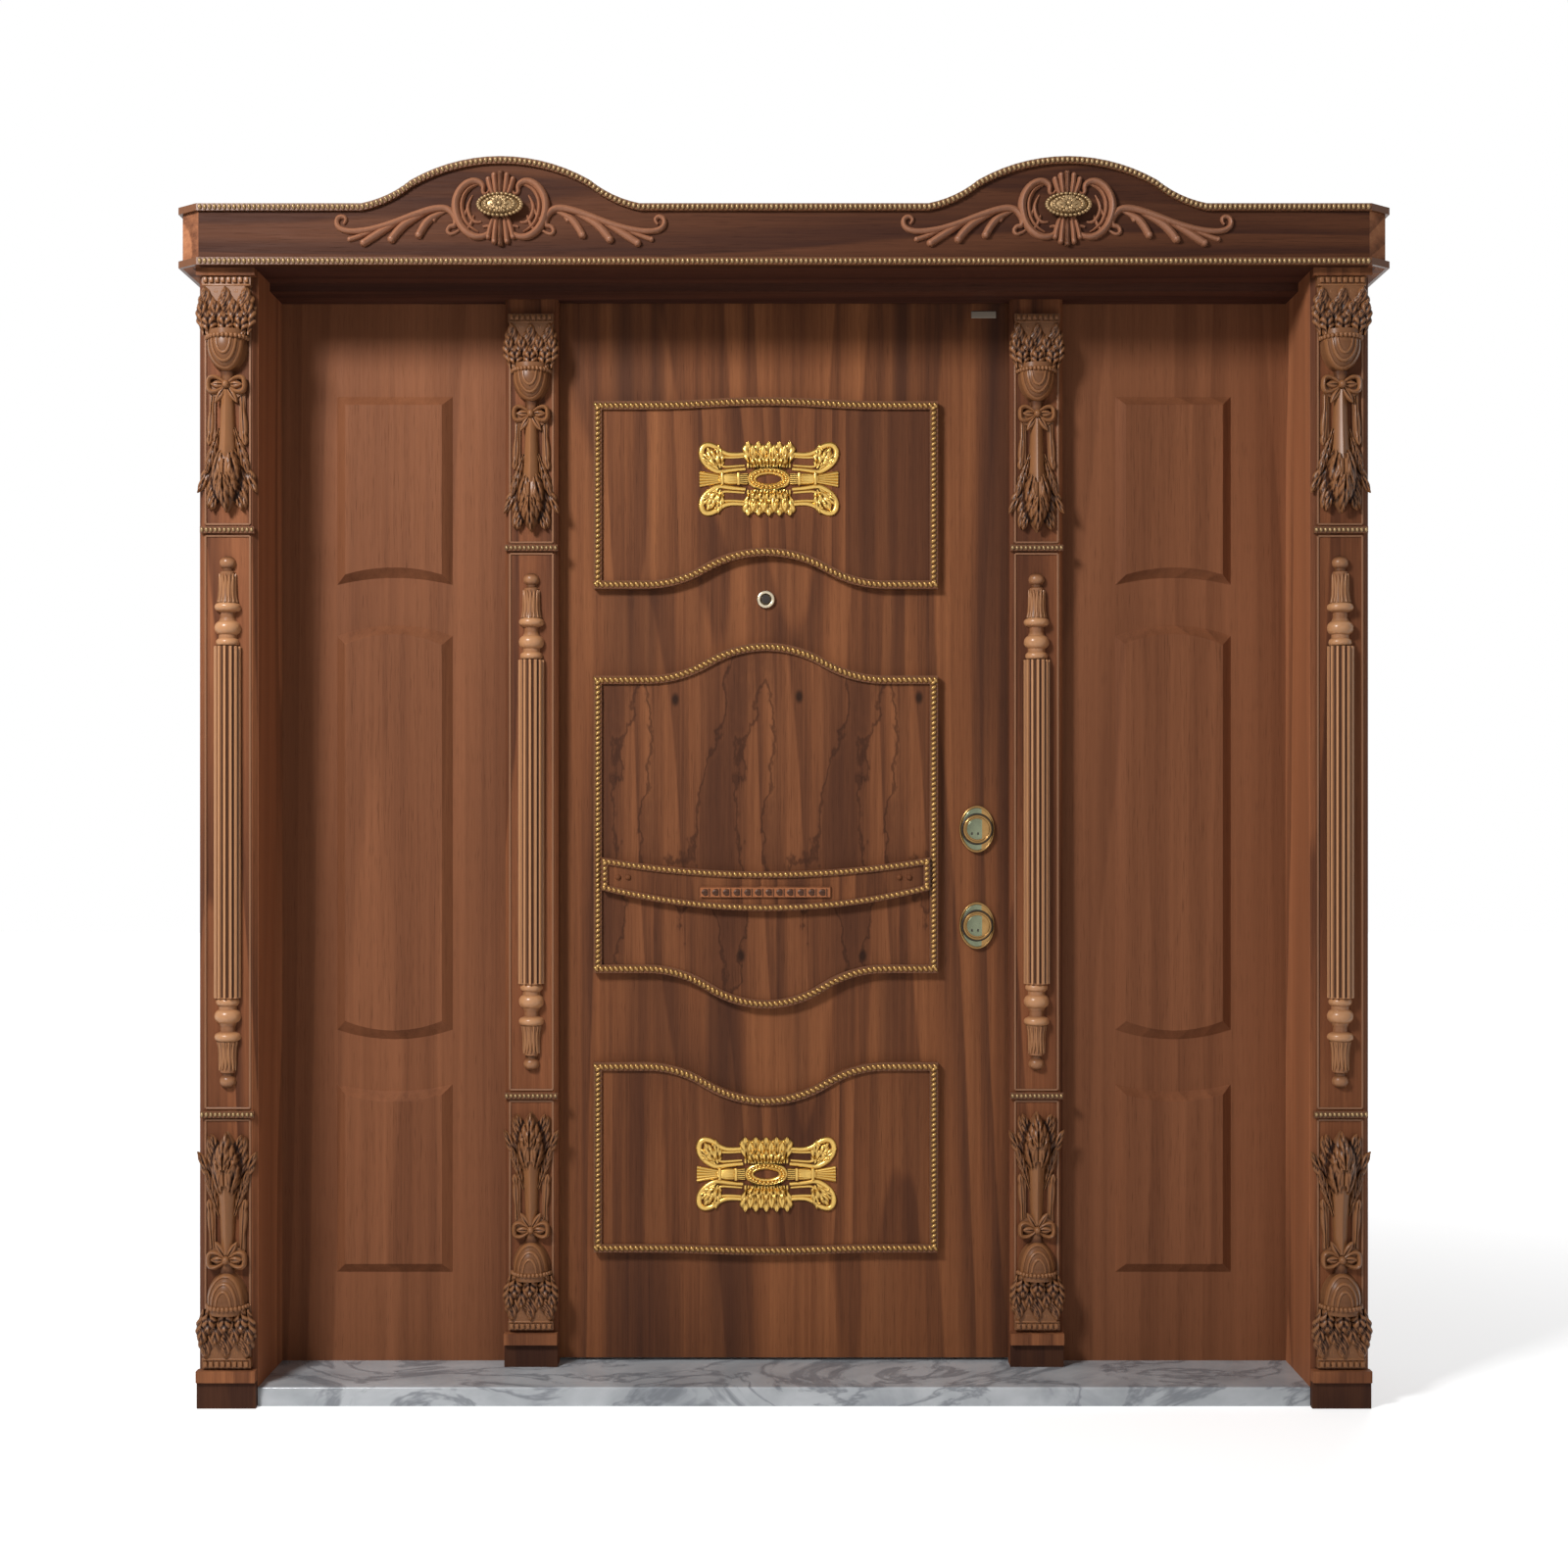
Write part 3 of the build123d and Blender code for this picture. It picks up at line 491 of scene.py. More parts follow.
# %% Turned wood
def turned(name, axis_x, axis_y, shaft, pale, mid, dark):
    """Wood of the half columns at plus and minus axis_x, shaft being the fluted heights."""
    finish = Finish(name)
    x, y, z = finish.axes()
    low, high = shaft
    flute_floor, arris, neck, collar = 0.0216, 0.0246, 0.003, 0.0235
    from_axis = ((x.size() - axis_x) ** 2 + (y - axis_y) ** 2) ** 0.5
    in_shaft = finish.span(z, low, low + 0.002) * (1 - finish.span(z, high, high + 0.002))
    flute = finish.span(from_axis, flute_floor, arris)
    ring = finish.span(from_axis, neck, collar)
    grain = finish.noise(finish.stretched((1, 1, 0.1)), 190, 3.0)
    # The distance from the axis paints shade into flutes and necks and a highlight on arrises and rings.
    tone = flute * in_shaft + ring * (1 - in_shaft)
    colour = finish.ramp(tone * 0.9 + grain * 0.12, [(0.06, dark), (0.5, mid), (0.95, pale)])
    finish.set(Base_Color=colour, Roughness=0.46 - tone * 0.14, Specular_IOR_Level=0.12)
    finish.set(Coat_Weight=tone * 0.5, Coat_Roughness=0.25)
    finish.bump(grain, 0.1, 0.0005)
    return finish


pilaster_x = {"outer": 1.0505, "inner": 0.496}
pilaster_y = {
    "outer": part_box("right_outer_casing")[0][1],
    "inner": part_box("right_inner_board")[0][1],
}
column_shafts = {"outer": (0.773, 1.436), "inner": (0.787, 1.422)}
column_tones = (0.470, 0.230, 0.105), (0.215, 0.088, 0.037), (0.030, 0.011, 0.005)
outer_column_wood, inner_column_wood = [
    turned(f"{row} column walnut", pilaster_x[row], pilaster_y[row], shaft, *column_tones)
    for row, shaft in column_shafts.items()
]
print("pilaster faces lie at", pilaster_y)

# %% [markdown]
# ## Gold, brass, steel and marble
# Gilding is metal with a warm colour and painted shade in its hollows, so it too follows the
# pointiness. The marble has soft grey clouds, with darker veins where a distorted noise
# crosses its middle value: veins drawn as curves would end, and these run through the slab.


# %% Metals
def gilded(name, bright, hollow_shade, rough=0.3, metal=1.0):
    """Metal that is bright and smooth on its crests, with painted shade and more roughness in its
    hollows.
    """
    finish = Finish(name)
    edge = finish.node("ShaderNodeNewGeometry", out="Pointiness")
    patch = finish.noise(finish.here, 90, 3.0)
    # Pointiness paints shade into the hollows; the crests keep the metal's bright colour.
    gilt_light = finish.span(edge + patch * 0.06, 0.47, 0.57)
    colour = finish.ramp(gilt_light, [(0.0, hollow_shade), (1.0, bright)])
    finish.set(Base_Color=colour, Metallic=metal, Roughness=rough + 0.22 - gilt_light * 0.2)
    finish.bump(patch, 0.08, 0.0005)
    return finish


rope_gold = gilded("aged rope gold", (0.35, 0.200, 0.066), (0.024, 0.011, 0.005), 0.30, 0.75)
bead_gold = gilded("bead gold", (0.29, 0.19, 0.092), (0.032, 0.018, 0.010), 0.36, 0.75)
mount_gilt = gilded("bright gilt", (0.62, 0.395, 0.105), (0.12, 0.056, 0.011), 0.26, 0.85)
lock_brass = gilded("polished brass", (0.26, 0.150, 0.055), (0.08, 0.034, 0.012), 0.16)
lock_nickel = gilded("aged nickel", (0.150, 0.165, 0.105), (0.060, 0.063, 0.040), 0.2, 0.85)
peephole_brass = gilded("pale brass", (0.62, 0.54, 0.40), (0.26, 0.18, 0.09), 0.2)
hinge_steel = gilded("hinge steel", (0.48, 0.47, 0.46), (0.26, 0.25, 0.24), 0.3)
shade_metal = gilded("painted shade metal", (0.05, 0.042, 0.036), (0.012, 0.011, 0.010), 0.4)
plate_bronze = gilded("plate bronze", (0.20, 0.165, 0.13), (0.09, 0.072, 0.056), 0.34)
print("metals ready")

# %% Marble
marble = Finish("veined marble")
cloud = marble.noise(marble.stretched((1, 1, 1.6)), 6, 4.0, 0.55, 0.5)
vein_noise = marble.noise(marble.stretched((1, 1.4, 2.2)), 2.6, 5.0, 0.6, 1.6)
vein = 1 - marble.span((vein_noise - 0.5).size(), 0.0, 0.045)
smoke_noise = marble.noise(marble.stretched((1, 1, 1), shift=(4, 2, 7)), 5, 4.0, 0.6, 1.2)
smoke = marble.span(smoke_noise, 0.5, 0.75)
stone = marble.ramp(cloud, [(0.3, (0.31, 0.33, 0.35)), (0.65, (0.49, 0.51, 0.53))])
stone = marble.blend(smoke * 0.45, stone, (0.20, 0.22, 0.25, 1))
stone = marble.blend(vein * 0.6, stone, (0.09, 0.10, 0.12, 1))
marble.set(Base_Color=stone, Roughness=0.22 + vein * 0.1)
print("marble ready")

# %% [markdown]
# ## Finishes on the solid pieces
# The boards and turnings that are right as they are only need their finish.

# %% Dress the solid pieces
finishes = {
    leaf_veneer: ["door_leaf"],
    panel_veneer: ["upper_raised_panel", "lower_raised_panel", "lock_band"],
    figured_veneer: ["middle_raised_panel"],
    side_veneer: ["left_side_panel", "right_side_panel"],
    pilaster_wood: ["left_inner_board", "right_inner_board", "left_mullion", "right_mullion"],
    casing_wood: ["left_outer_casing", "right_outer_casing"],
    block_wood: ["pilaster_blocks"],
    cornice_wood: ["cornice_fascia", "cornice_top_board"],
    return_wood: ["cornice_left_return", "cornice_right_return"],
    soffit_wood: ["cornice_soffit", "header_lining", "frame_head"],
    outer_column_wood: ["left_outer_column", "right_outer_column"],
    inner_column_wood: ["left_inner_column", "right_inner_column"],
    drop_body_wood: [
        "left_outer_carvings", "right_outer_carvings", "left_inner_carvings", "right_inner_carvings",
    ],
    carving_ground: ["panel_rope_trims", "band_rope_trim", "pilaster_bead_strips", "cornice_beads"],
    reveal_wood: ["left_jamb", "right_jamb"],
    marble: ["marble_sill"],
    peephole_brass: ["peephole"],
    lock_brass: ["lock_escutcheons", "inside_lock_roses"],
    hinge_steel: ["hinge_frame_halves", "hinge_leaf_halves"],
    mount_gilt: ["gilt_mounts"],
    scroll_wood: ["cornice_scrolls"],
}
for finish, nodes in finishes.items():
    for node in nodes:
        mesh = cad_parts[node].data
        mesh.materials.clear()
        mesh.materials.append(finish.material)
print("dressed", sum(len(nodes) for nodes in finishes.values()), "solid pieces")


# %% Finish a new piece
def finish_piece(piece, finish, body, replaces=()):
    """Gives a new piece its finish and tells the model which body carries it."""
    piece.data.materials.clear()
    piece.data.materials.append(finish.material)
    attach(piece, body)
    if replaces:
        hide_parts(*replaces)
    return piece


# %% [markdown]
# ## Rope mouldings
# A gilt rope frames each raised panel. It could be twisted from strands, but it is carved
# wood and reads as a row of slanted beads. So one low bead is repeated by Array and bent
# along the run by Curve. Each side of a frame is its own run, so corners stay crisp.


# %% Rope runs
def drawn_run(points):
    """A flat curve on the bench through the points, in metres."""
    bpy.ops.object.select_all(action="DESELECT")
    bpy.ops.curve.primitive_bezier_curve_add()
    run = bpy.context.object
    run.data.dimensions = "2D"
    run.data.splines.remove(run.data.splines[0])
    line = run.data.splines.new("POLY")
    line.points.add(len(points) - 1)
    for place, (x, y) in zip(line.points, points):
        place.co = (x, y, 0, 1)
    return run


def run_length(points):
    return sum(hypot(b[0] - a[0], b[1] - a[1]) for a, b in zip(points, points[1:]))


def rope(points, pitch, width, height, slant=35.0):
    """A rope of slanted beads along flat points, in metres, rising from the bench."""
    length = run_length(points)
    count = max(2, round(length / pitch))
    step = length / count
    bpy.ops.object.select_all(action="DESELECT")
    bpy.ops.mesh.primitive_uv_sphere_add(segments=10, ring_count=6, radius=0.5)
    knop = bpy.context.object
    knop.matrix_world = (
        Matrix.Translation((step / 2, 0, 0))
        @ Matrix.Rotation(radians(slant), 4, "Z")
        @ Matrix.Diagonal((step * 0.9, width, height * 2, 1))
    )
    settle(knop)
    bpy.ops.object.mode_set(mode="EDIT")
    bpy.ops.mesh.select_all(action="SELECT")
    bpy.ops.mesh.bisect(plane_co=(0, 0, 0), plane_no=(0, 0, 1), clear_inner=True)
    bpy.ops.object.mode_set(mode="OBJECT")
    row = knop.modifiers.new("row", "ARRAY")
    row.count = count
    row.use_relative_offset = False
    row.use_constant_offset = True
    row.constant_offset_displace = (step, 0, 0)
    run = drawn_run(points)
    bend = knop.modifiers.new("bend", "CURVE")
    bend.object = run
    apply_all(knop)
    bpy.data.objects.remove(run)
    return soften(knop, 60)


# %% Rope round the raised panels
def wave(x_start, x_end, z, rise, flat, steps=40):
    """The wavy edge of a raised panel: level ends and tangent arcs up to the crest."""
    middle = (x_start + x_end) / 2
    reach = abs(middle - x_start) - flat
    points = [(x_start, z)]
    for i in range(steps + 1):
        t = -1 + 2 * i / steps
        s = 1 - abs(t)
        lift = 2 * s * s if s < 0.5 else 1 - 2 * (1 - s) ** 2
        points.append((middle + (t * reach if x_end > x_start else -t * reach), z + rise * lift))
    return points + [(x_end, z)]


def rope_frame(left, right, low, high, waves, flat, pitch, width, height):
    """Four runs of rope round a wavy panel, drawn in by half the rope's width."""
    i = width / 2
    runs = [
        wave(left, right, low + i, waves[0], flat),
        [(right - i, low + i), (right - i, high - i)],
        wave(right, left, high - i, waves[1], flat),
        [(left + i, high - i), (left + i, low + i)],
    ]
    return [rope(points, pitch, width, height) for points in runs]


# Lower edge, upper edge, and how far each of them rises in its middle
panel_edges = {
    "upper": (1.565, 1.935, (0.065, 0.008)),
    "middle": (0.806, 1.393, (-0.070, 0.065)),
    "lower": (0.254, 0.629, (-0.005, -0.068)),
}
panel_x = (-0.376, 0.304)
level_end = 0.105
panel_rope_size = {"pitch": 0.0100, "width": 0.0165, "height": 0.007}
rope_sink = 0.002
trim_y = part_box("panel_rope_trims")[0][1]
ropes = []
for low, high, waves in panel_edges.values():
    ropes += rope_frame(*panel_x, low, high, waves, level_end, **panel_rope_size)
panel_rope = hang(join(ropes, "panel_rope_beads"), 0, trim_y + rope_sink, 0)
finish_piece(panel_rope, rope_gold, "leaf")
print("panel rope", len(panel_rope.data.polygons), "faces")


# %% Rope round the band
def sag(x_start, x_end, z, drop, steps=40):
    """A shallow arc between two level ends."""
    return [
        (x_start + (x_end - x_start) * i / steps, z + drop * (1 - (2 * i / steps - 1) ** 2))
        for i in range(steps + 1)
    ]


band_left, band_right, band_low, band_high = -0.359, 0.287, 0.976, 1.028
end_inset = 0.006
band_rope_size = {"pitch": 0.0100, "width": 0.0130, "height": 0.006}
band_runs = [
    sag(band_left, band_right, band_low, -0.041),
    sag(band_right, band_left, band_high, -0.028),
    [(band_right - end_inset, band_low), (band_right - end_inset, band_high)],
    [(band_left + end_inset, band_high), (band_left + end_inset, band_low)],
]
band_rope = join([rope(points, **band_rope_size) for points in band_runs], "band_rope_beads")
hang(band_rope, 0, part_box("band_rope_trim")[0][1] + rope_sink, 0)
finish_piece(band_rope, rope_gold, "leaf")
print("band rope", len(band_rope.data.polygons), "faces")

# %% [markdown]
# ## A carver's leaf
# Sculpting each leaf by hand would be slow and no two would match. Every carved leaf here is
# one grid whose points are moved by a formula: the outline swells and narrows, scallops cut
# the edge, the middle is domed and a vein runs along it.


# %% Leaf
def petal(length, width, depth, lobes=0, curl=0.0, vein=0.3, tip=0.8, foot=0.45):
    """A carved leaf on the bench, from its foot at the origin along +Y, in millimetres."""
    bpy.ops.object.select_all(action="DESELECT")
    across, along = (12, 20) if lobes else (8, 9)
    bpy.ops.mesh.primitive_grid_add(x_subdivisions=across, y_subdivisions=along, size=1)
    leaf = bpy.context.object
    for point in leaf.data.vertices:
        u = 2 * point.co.x
        t = point.co.y + 0.5
        swell = sin(pi * min(1, t**tip)) ** 0.7 if 0 < t < 1 else 0
        half = max(swell, foot * (1 - t) ** 0.5)
        lift = (0.45 + 0.55 * sin(pi * min(1, 0.1 + 0.8 * t))) * sqrt(max(0, 1 - u * u))
        if lobes:
            phase = lobes * (t - 0.28 * abs(u))
            half *= 0.82 + 0.3 * abs(sin(pi * phase))
            lift *= 0.62 + 0.38 * abs(sin(pi * phase))
        lift -= vein * max(0, 1 - abs(u) / 0.3) * (1 - t)
        point.co = (
            u * half * width / 2 * MM,
            t * length * MM,
            (depth * lift + curl * t**3 * (1 - 0.5 * u * u)) * MM,
        )
    return leaf


# %% Bead, block and stroke
def bead(rx, ry, rz):
    """A small oval bead, half of it above the bench."""
    bpy.ops.object.select_all(action="DESELECT")
    bpy.ops.mesh.primitive_uv_sphere_add(segments=10, ring_count=6, radius=1)
    ball = bpy.context.object
    ball.scale = (rx * MM, ry * MM, rz * MM)
    return settle(ball)


def block(width, height, depth, round_off=1.0):
    """A block with eased edges that stands on the bench."""
    bpy.ops.object.select_all(action="DESELECT")
    bpy.ops.mesh.primitive_cube_add(size=1, location=(0, 0, depth / 2 * MM))
    cube = bpy.context.object
    cube.scale = (width * MM, height * MM, depth * MM)
    settle(cube)
    ease = cube.modifiers.new("ease", "BEVEL")
    ease.width = round_off * MM
    ease.segments = 2
    return apply_all(cube)


def stroke(points, radii, flatten=1.0, closed=False):
    """A tapering strand along flat points in millimetres, half of it above the bench."""
    bpy.ops.object.select_all(action="DESELECT")
    bpy.ops.curve.primitive_nurbs_path_add()
    strand = bpy.context.object
    strand.data.splines.remove(strand.data.splines[0])
    line = strand.data.splines.new("NURBS")
    line.points.add(len(points) - 1)
    for i, (place, (x, y)) in enumerate(zip(line.points, points)):
        place.co = (x * MM, y * MM, 0, 1)
        share = i / (len(points) - 1) * (len(radii) - 1)
        low = int(min(share, len(radii) - 2))
        place.radius = radii[low] + (radii[low + 1] - radii[low]) * (share - low)
    line.use_cyclic_u = closed
    line.order_u = 3
    line.use_endpoint_u = not closed
    line.resolution_u = 5
    strand.data.bevel_depth = MM
    strand.data.bevel_resolution = 2
    strand.data.use_fill_caps = True
    only(strand)
    bpy.ops.object.convert(target="MESH")
    strand = bpy.context.object
    strand.scale = (1, 1, flatten)
    return settle(strand)


# %% Mirrored pieces
def upside_down(piece):
    """Mirrors a bench piece top to bottom."""
    piece.scale = (1, -1, 1)
    return turn_faces(settle(piece))


def both(piece, *args, **kwargs):
    """Lays a piece and its mirror image, left and right of the bench's Y axis."""
    twin = copy_of(lay(piece, *args, **kwargs))
    return [piece, lay(twin, flip=True)]


# %% [markdown]
# ## Carved drops on the pilasters
# From the top: a row of dentils, upright acanthus leaves, a bead rim, a bowl with swags, a
# ribbon bow, then a plain shaft with tassels that ends in a plume of leaves. The solid model
# has the turned body, and the leaves on it could be modelled round. Cut flat and then draped
# over the body's outline, they need no more than one height each.

# %% Drape pieces over the turned body
body_line = [
    (102, 0), (103, 36.8), (120.4, 36.8),
    *arc_points((120.4, 36.8), (160.6, 29.9), (178.4, 13.8)),
    *arc_points((200.7, 12), (258.7, 11), (316.7, 12.9)),
    *arc_points((316.7, 12.9), (383.6, 27.1), (446, 0)),
]


def radius_on(line, place):
    """Radius of a turning at a place along its half outline, in millimetres."""
    for (start, first), (end, last) in zip(line, line[1:]):
        if start <= place <= end:
            return first + (last - first) * (place - start) / (end - start)
    return 0


def drape(piece):
    """Lifts a flat piece on to the turned body."""
    for point in piece.data.vertices:
        radius = radius_on(body_line, -point.co.y / MM)
        point.co.z += sqrt(max(0, radius**2 - (point.co.x / MM) ** 2)) * MM
    return piece


print("the drop's body is", max(radius for place, radius in body_line), "mm in radius at most")


# %% Head and bowl of a drop
def drop_head():
    """Dentils, a flat fillet and four tiers of upright leaves."""
    parts = [lay(block(7, 10, 18), -38.5 + 11 * i, -8) for i in range(8)]
    parts.append(lay(block(90, 4, 15), 0, -17))
    leaf_tiers = (
        ((-17, 17), -80, 58, 34, 3, 3, 6),
        ((-32, 0, 32), -112, 92, 38, 5, 9, 9),
        ((-39, -16, 16, 39), -112, 66, 28, 4, 10, 14),
        ((-29, 0, 29), -112, 40, 27, 3, 9, 19),
    )
    for spots, foot, length, width, lobes, curl, height in leaf_tiers:
        for x in spots:
            leaf = petal(length, width, 9, lobes=lobes, curl=curl, vein=0.8, tip=1.1)
            parts.append(lay(leaf, x, foot, height, turn=-0.13 * x))
    return parts


def drop_bowl():
    """A rim of beads and three swags that hang round the bowl."""
    parts = []
    rim_radius, rim_y, swag_y, swag_steps = 38.5, -116, -121, 14
    for i in range(15):
        angle = radians(-84 + 12 * i)
        parts.append(lay(bead(4.2, 5.0, 4.2), rim_radius * sin(angle), rim_y, rim_radius * cos(angle)))
    for wide, deep, thick in ((32, 55, 3.2), (23, 42, 3.0), (14, 28, 2.8)):
        angles = [pi + pi * i / swag_steps for i in range(swag_steps + 1)]
        swag = [(wide * cos(angle), swag_y + deep * sin(angle)) for angle in angles]
        parts.append(drape(stroke(swag, [thick * 0.8, thick, thick * 0.8])))
    return parts


# %% Bow, shaft and plume of a drop
def drop_bow():
    """Two ribbon loops with a fold in each, a knot and two short tails."""
    knot_y, height = -204, 10
    loop = [(0, 0), (14, 14), (32, 15), (35, 0), (32, -14), (14, -13), (0, 0)]
    parts = both(stroke(loop, [2.5, 4.5, 5, 4.5, 2.5], 1.7), 0, knot_y, height)
    parts += both(petal(24, 15, 7, vein=0.5), 6, knot_y, height, turn=-90)
    parts.append(lay(bead(7, 8, 8), 0, knot_y, 16))
    parts += both(petal(34, 14, 7, vein=0.5), 3, knot_y - 6, height, turn=212)
    return parts


def drop_shaft():
    """A shaft that widens downwards, two ribs at its foot and tassels at its sides."""
    parts = [stroke([(0, -214), (0, -262), (0, -312), (0, -352)], [12.5, 14, 17, 20], 1.25)]
    for x in (-6, 6):
        parts.append(drape(stroke([(x, -346), (x, -372), (1.1 * x, -404)], [6, 6, 4])))
    parts += both(petal(88, 15, 7, vein=0.45, tip=1.5, foot=0.7), 28, -224, 3, turn=183)
    parts += both(petal(30, 13, 7, vein=0.6, tip=1.5, foot=0.9), 31, -288, 4, turn=186)
    parts += both(petal(92, 17, 7, lobes=5, vein=0.6, tip=1.3), 14, -286, 5, turn=197)
    return parts


def drop_plume():
    """Leaves that fan out downwards over the end of the body."""
    parts = []
    for x, down, length, width, height, turn in (
        (13, 326, 92, 25, 0, 208), (10, 334, 106, 28, 2, 194), (8, 372, 72, 24, 5, 197),
    ):
        leaves = both(petal(length, width, 8, lobes=4, curl=5, vein=0.8), x, -down, height, turn=turn)
        parts += [drape(leaf) for leaf in leaves]
    parts.append(drape(lay(petal(68, 22, 9, lobes=3, curl=3, vein=0.8), 0, -378, 9, turn=180)))
    return parts


# %% Hang the drops
drop_parts = drop_head() + drop_bowl() + drop_bow() + drop_shaft() + drop_plume()
drop = soften(join(drop_parts, "carved_drop"), 50)
print("one drop has", len(drop.data.polygons), "faces")
drop_heads = {"outer": (2.133, 1.0), "inner": (2.100, 0.96)}
pilaster_middle = 1.1045
for row, (head_z, scale) in drop_heads.items():
    x, face_y = pilaster_x[row], pilaster_y[row]
    for side, sign in (("left", -1), ("right", 1)):
        upper = copy_of(drop)
        upper.scale = (scale, scale, scale)
        settle(upper)
        lower = upside_down(copy_of(upper))
        hang(upper, sign * x, face_y, head_z)
        hang(lower, sign * x, face_y, 2 * pilaster_middle - head_z)
        pair = join([upper, lower], f"{side}_{row}_leaf_carving")
        finish_piece(pair, carved_wood, "frame")
bpy.data.objects.remove(drop)

# %% [markdown]
# ## Leaf cups on the half columns
# A cup of narrow leaves stands on the collar at each end of a half column. Bending by a
# modifier would need a curve for each leaf, so the leaves are cut flat and their points are
# rolled round the turning.

# %% Leaf cups
cup_line = [(80, 20), (88, 17.2), (96, 15.4), (108, 14.2), (124, 14.2), (142, 14.8)]
cup_leaves = []
for turn in range(-78, 79, 26):
    leaf = lay(petal(54, 9.5, 3.6, vein=0.2, tip=0.7, foot=0.8), 0, 83)
    for point in leaf.data.vertices:
        radius = radius_on(cup_line, point.co.y / MM)
        angle = radians(turn) + point.co.x / MM / radius
        away = radius * MM + point.co.z
        point.co = (away * sin(angle), point.co.y, away * cos(angle))
    cup_leaves.append(leaf)
cup = soften(join(cup_leaves, "leaf_cup"), 50)
cups = []
for row, (low, high) in column_shafts.items():
    for sign in (-1, 1):
        cups.append(hang(copy_of(cup), sign * pilaster_x[row], pilaster_y[row], high))
        cups.append(hang(upside_down(copy_of(cup)), sign * pilaster_x[row], pilaster_y[row], low))
bpy.data.objects.remove(cup)
print(len(cups), "leaf cups")
finish_piece(join(cups, "column_leaf_cups"), cup_wood, "frame")

# %% [markdown]
# ## Bead strips and fillets on the pilasters
# A strip of round beads crosses each pilaster twice and parts it into three fields, and a
# thin raised fillet frames each field. The beads are the rope again, without its slant.

# %% Beads across the pilasters
strip_places = {"outer": (0.102, (0.553, 1.656)), "inner": (0.104, (0.567, 1.642))}
strip_front = 0.007
strip_bead_size = {"pitch": 0.0086, "width": 0.0105, "height": 0.0055}
strips = []
for row, (width, heights) in strip_places.items():
    for sign in (-1, 1):
        for z in heights:
            strip = rope([(-width / 2, 0), (width / 2, 0)], **strip_bead_size, slant=0)
            strips.append(hang(strip, sign * pilaster_x[row], pilaster_y[row] - strip_front, z))
print(len(strips), "bead strips")
finish_piece(join(strips, "pilaster_beads"), bead_gold, "frame")

# %% Fillets round the fields
field_width = 0.084 / MM
field_heights = {
    "outer": ((0.082, 0.542), (0.564, 1.645), (1.667, 2.128)),
    "inner": ((0.118, 0.556), (0.578, 1.631), (1.653, 2.094)),
}
fillet_width, fillet_depth = 4, 2.4
fillets = []
for row, fields in field_heights.items():
    for low, high in fields:
        tall = (high - low) / MM
        sides = both(block(fillet_width, tall, fillet_depth), field_width / 2)
        ends = [lay(block(field_width, fillet_width, fillet_depth), 0, way * tall / 2) for way in (-1, 1)]
        border = join(sides + ends, "border")
        for sign in (-1, 1):
            border_copy = copy_of(border)
            fillets.append(hang(border_copy, sign * pilaster_x[row], pilaster_y[row], (low + high) / 2))
        bpy.data.objects.remove(border)
print(len(fillets), "fillet frames")
finish_piece(join(fillets, "pilaster_fillets"), fillet_wood, "frame")

# %% [markdown]
# ## Beads on the cornice
# One row of beads follows the cornice's top edge over both crests, and one runs straight
# along its foot. The edge is drawn with the arcs that the solid model has, so the row
# lies on it all the way.

# %% Cornice beads
fascia_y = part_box("cornice_fascia")[0][1]
cornice_half, crest_x, crest_half, top_z, rise = 1.096, 0.530, 0.260, 2.261, 0.088


def crest_line(drop_by):
    """The cornice's top edge from left to right, lowered by half a bead."""
    line = [(-cornice_half, top_z)]
    flank_x, flank_z = 0.64 * crest_half, top_z + 0.5 * rise
    near_x, near_z = (crest_half + flank_x) / 2, top_z + 0.17 * rise
    for middle in (-crest_x, crest_x):
        start, end = (middle - crest_half, top_z), (middle + crest_half, top_z)
        left_flank, right_flank = (middle - flank_x, flank_z), (middle + flank_x, flank_z)
        line += arc_points(start, (middle - near_x, near_z), left_flank)
        line += arc_points(left_flank, (middle, top_z + rise), right_flank, 24)[1:]
        line += arc_points(right_flank, (middle + near_x, near_z), end)[1:]
    line.append((cornice_half, top_z))
    return [(x, z - drop_by) for x, z in line]


cornice_bead_size = {"pitch": 0.0092, "width": 0.0125, "height": 0.006}
row_front, foot_z = 0.006, 2.1535
foot_line = [(-cornice_half, foot_z), (cornice_half, foot_z)]
cornice_rows = [
    hang(rope(line, **cornice_bead_size, slant=0), 0, fascia_y - row_front, 0)
    for line in (crest_line(0.0065), foot_line)
]
cornice_bead_rows = finish_piece(
    join(cornice_rows, "cornice_bead_rows"), bead_gold, "frame"
)
print("cornice beads", len(cornice_bead_rows.data.polygons), "faces")

# %% [markdown]
# ## Scrolls on the cornice
# The cartouche is two C-scrolls round a gilt oval, with a palmette above and below. An arm
# runs out to each side with smooth sweeping leaves and ends in a curl. A flat sheet cut to
# this outline would look sawn, so each line is a tapering strand that swells where the
# carver's gouge would leave more wood.


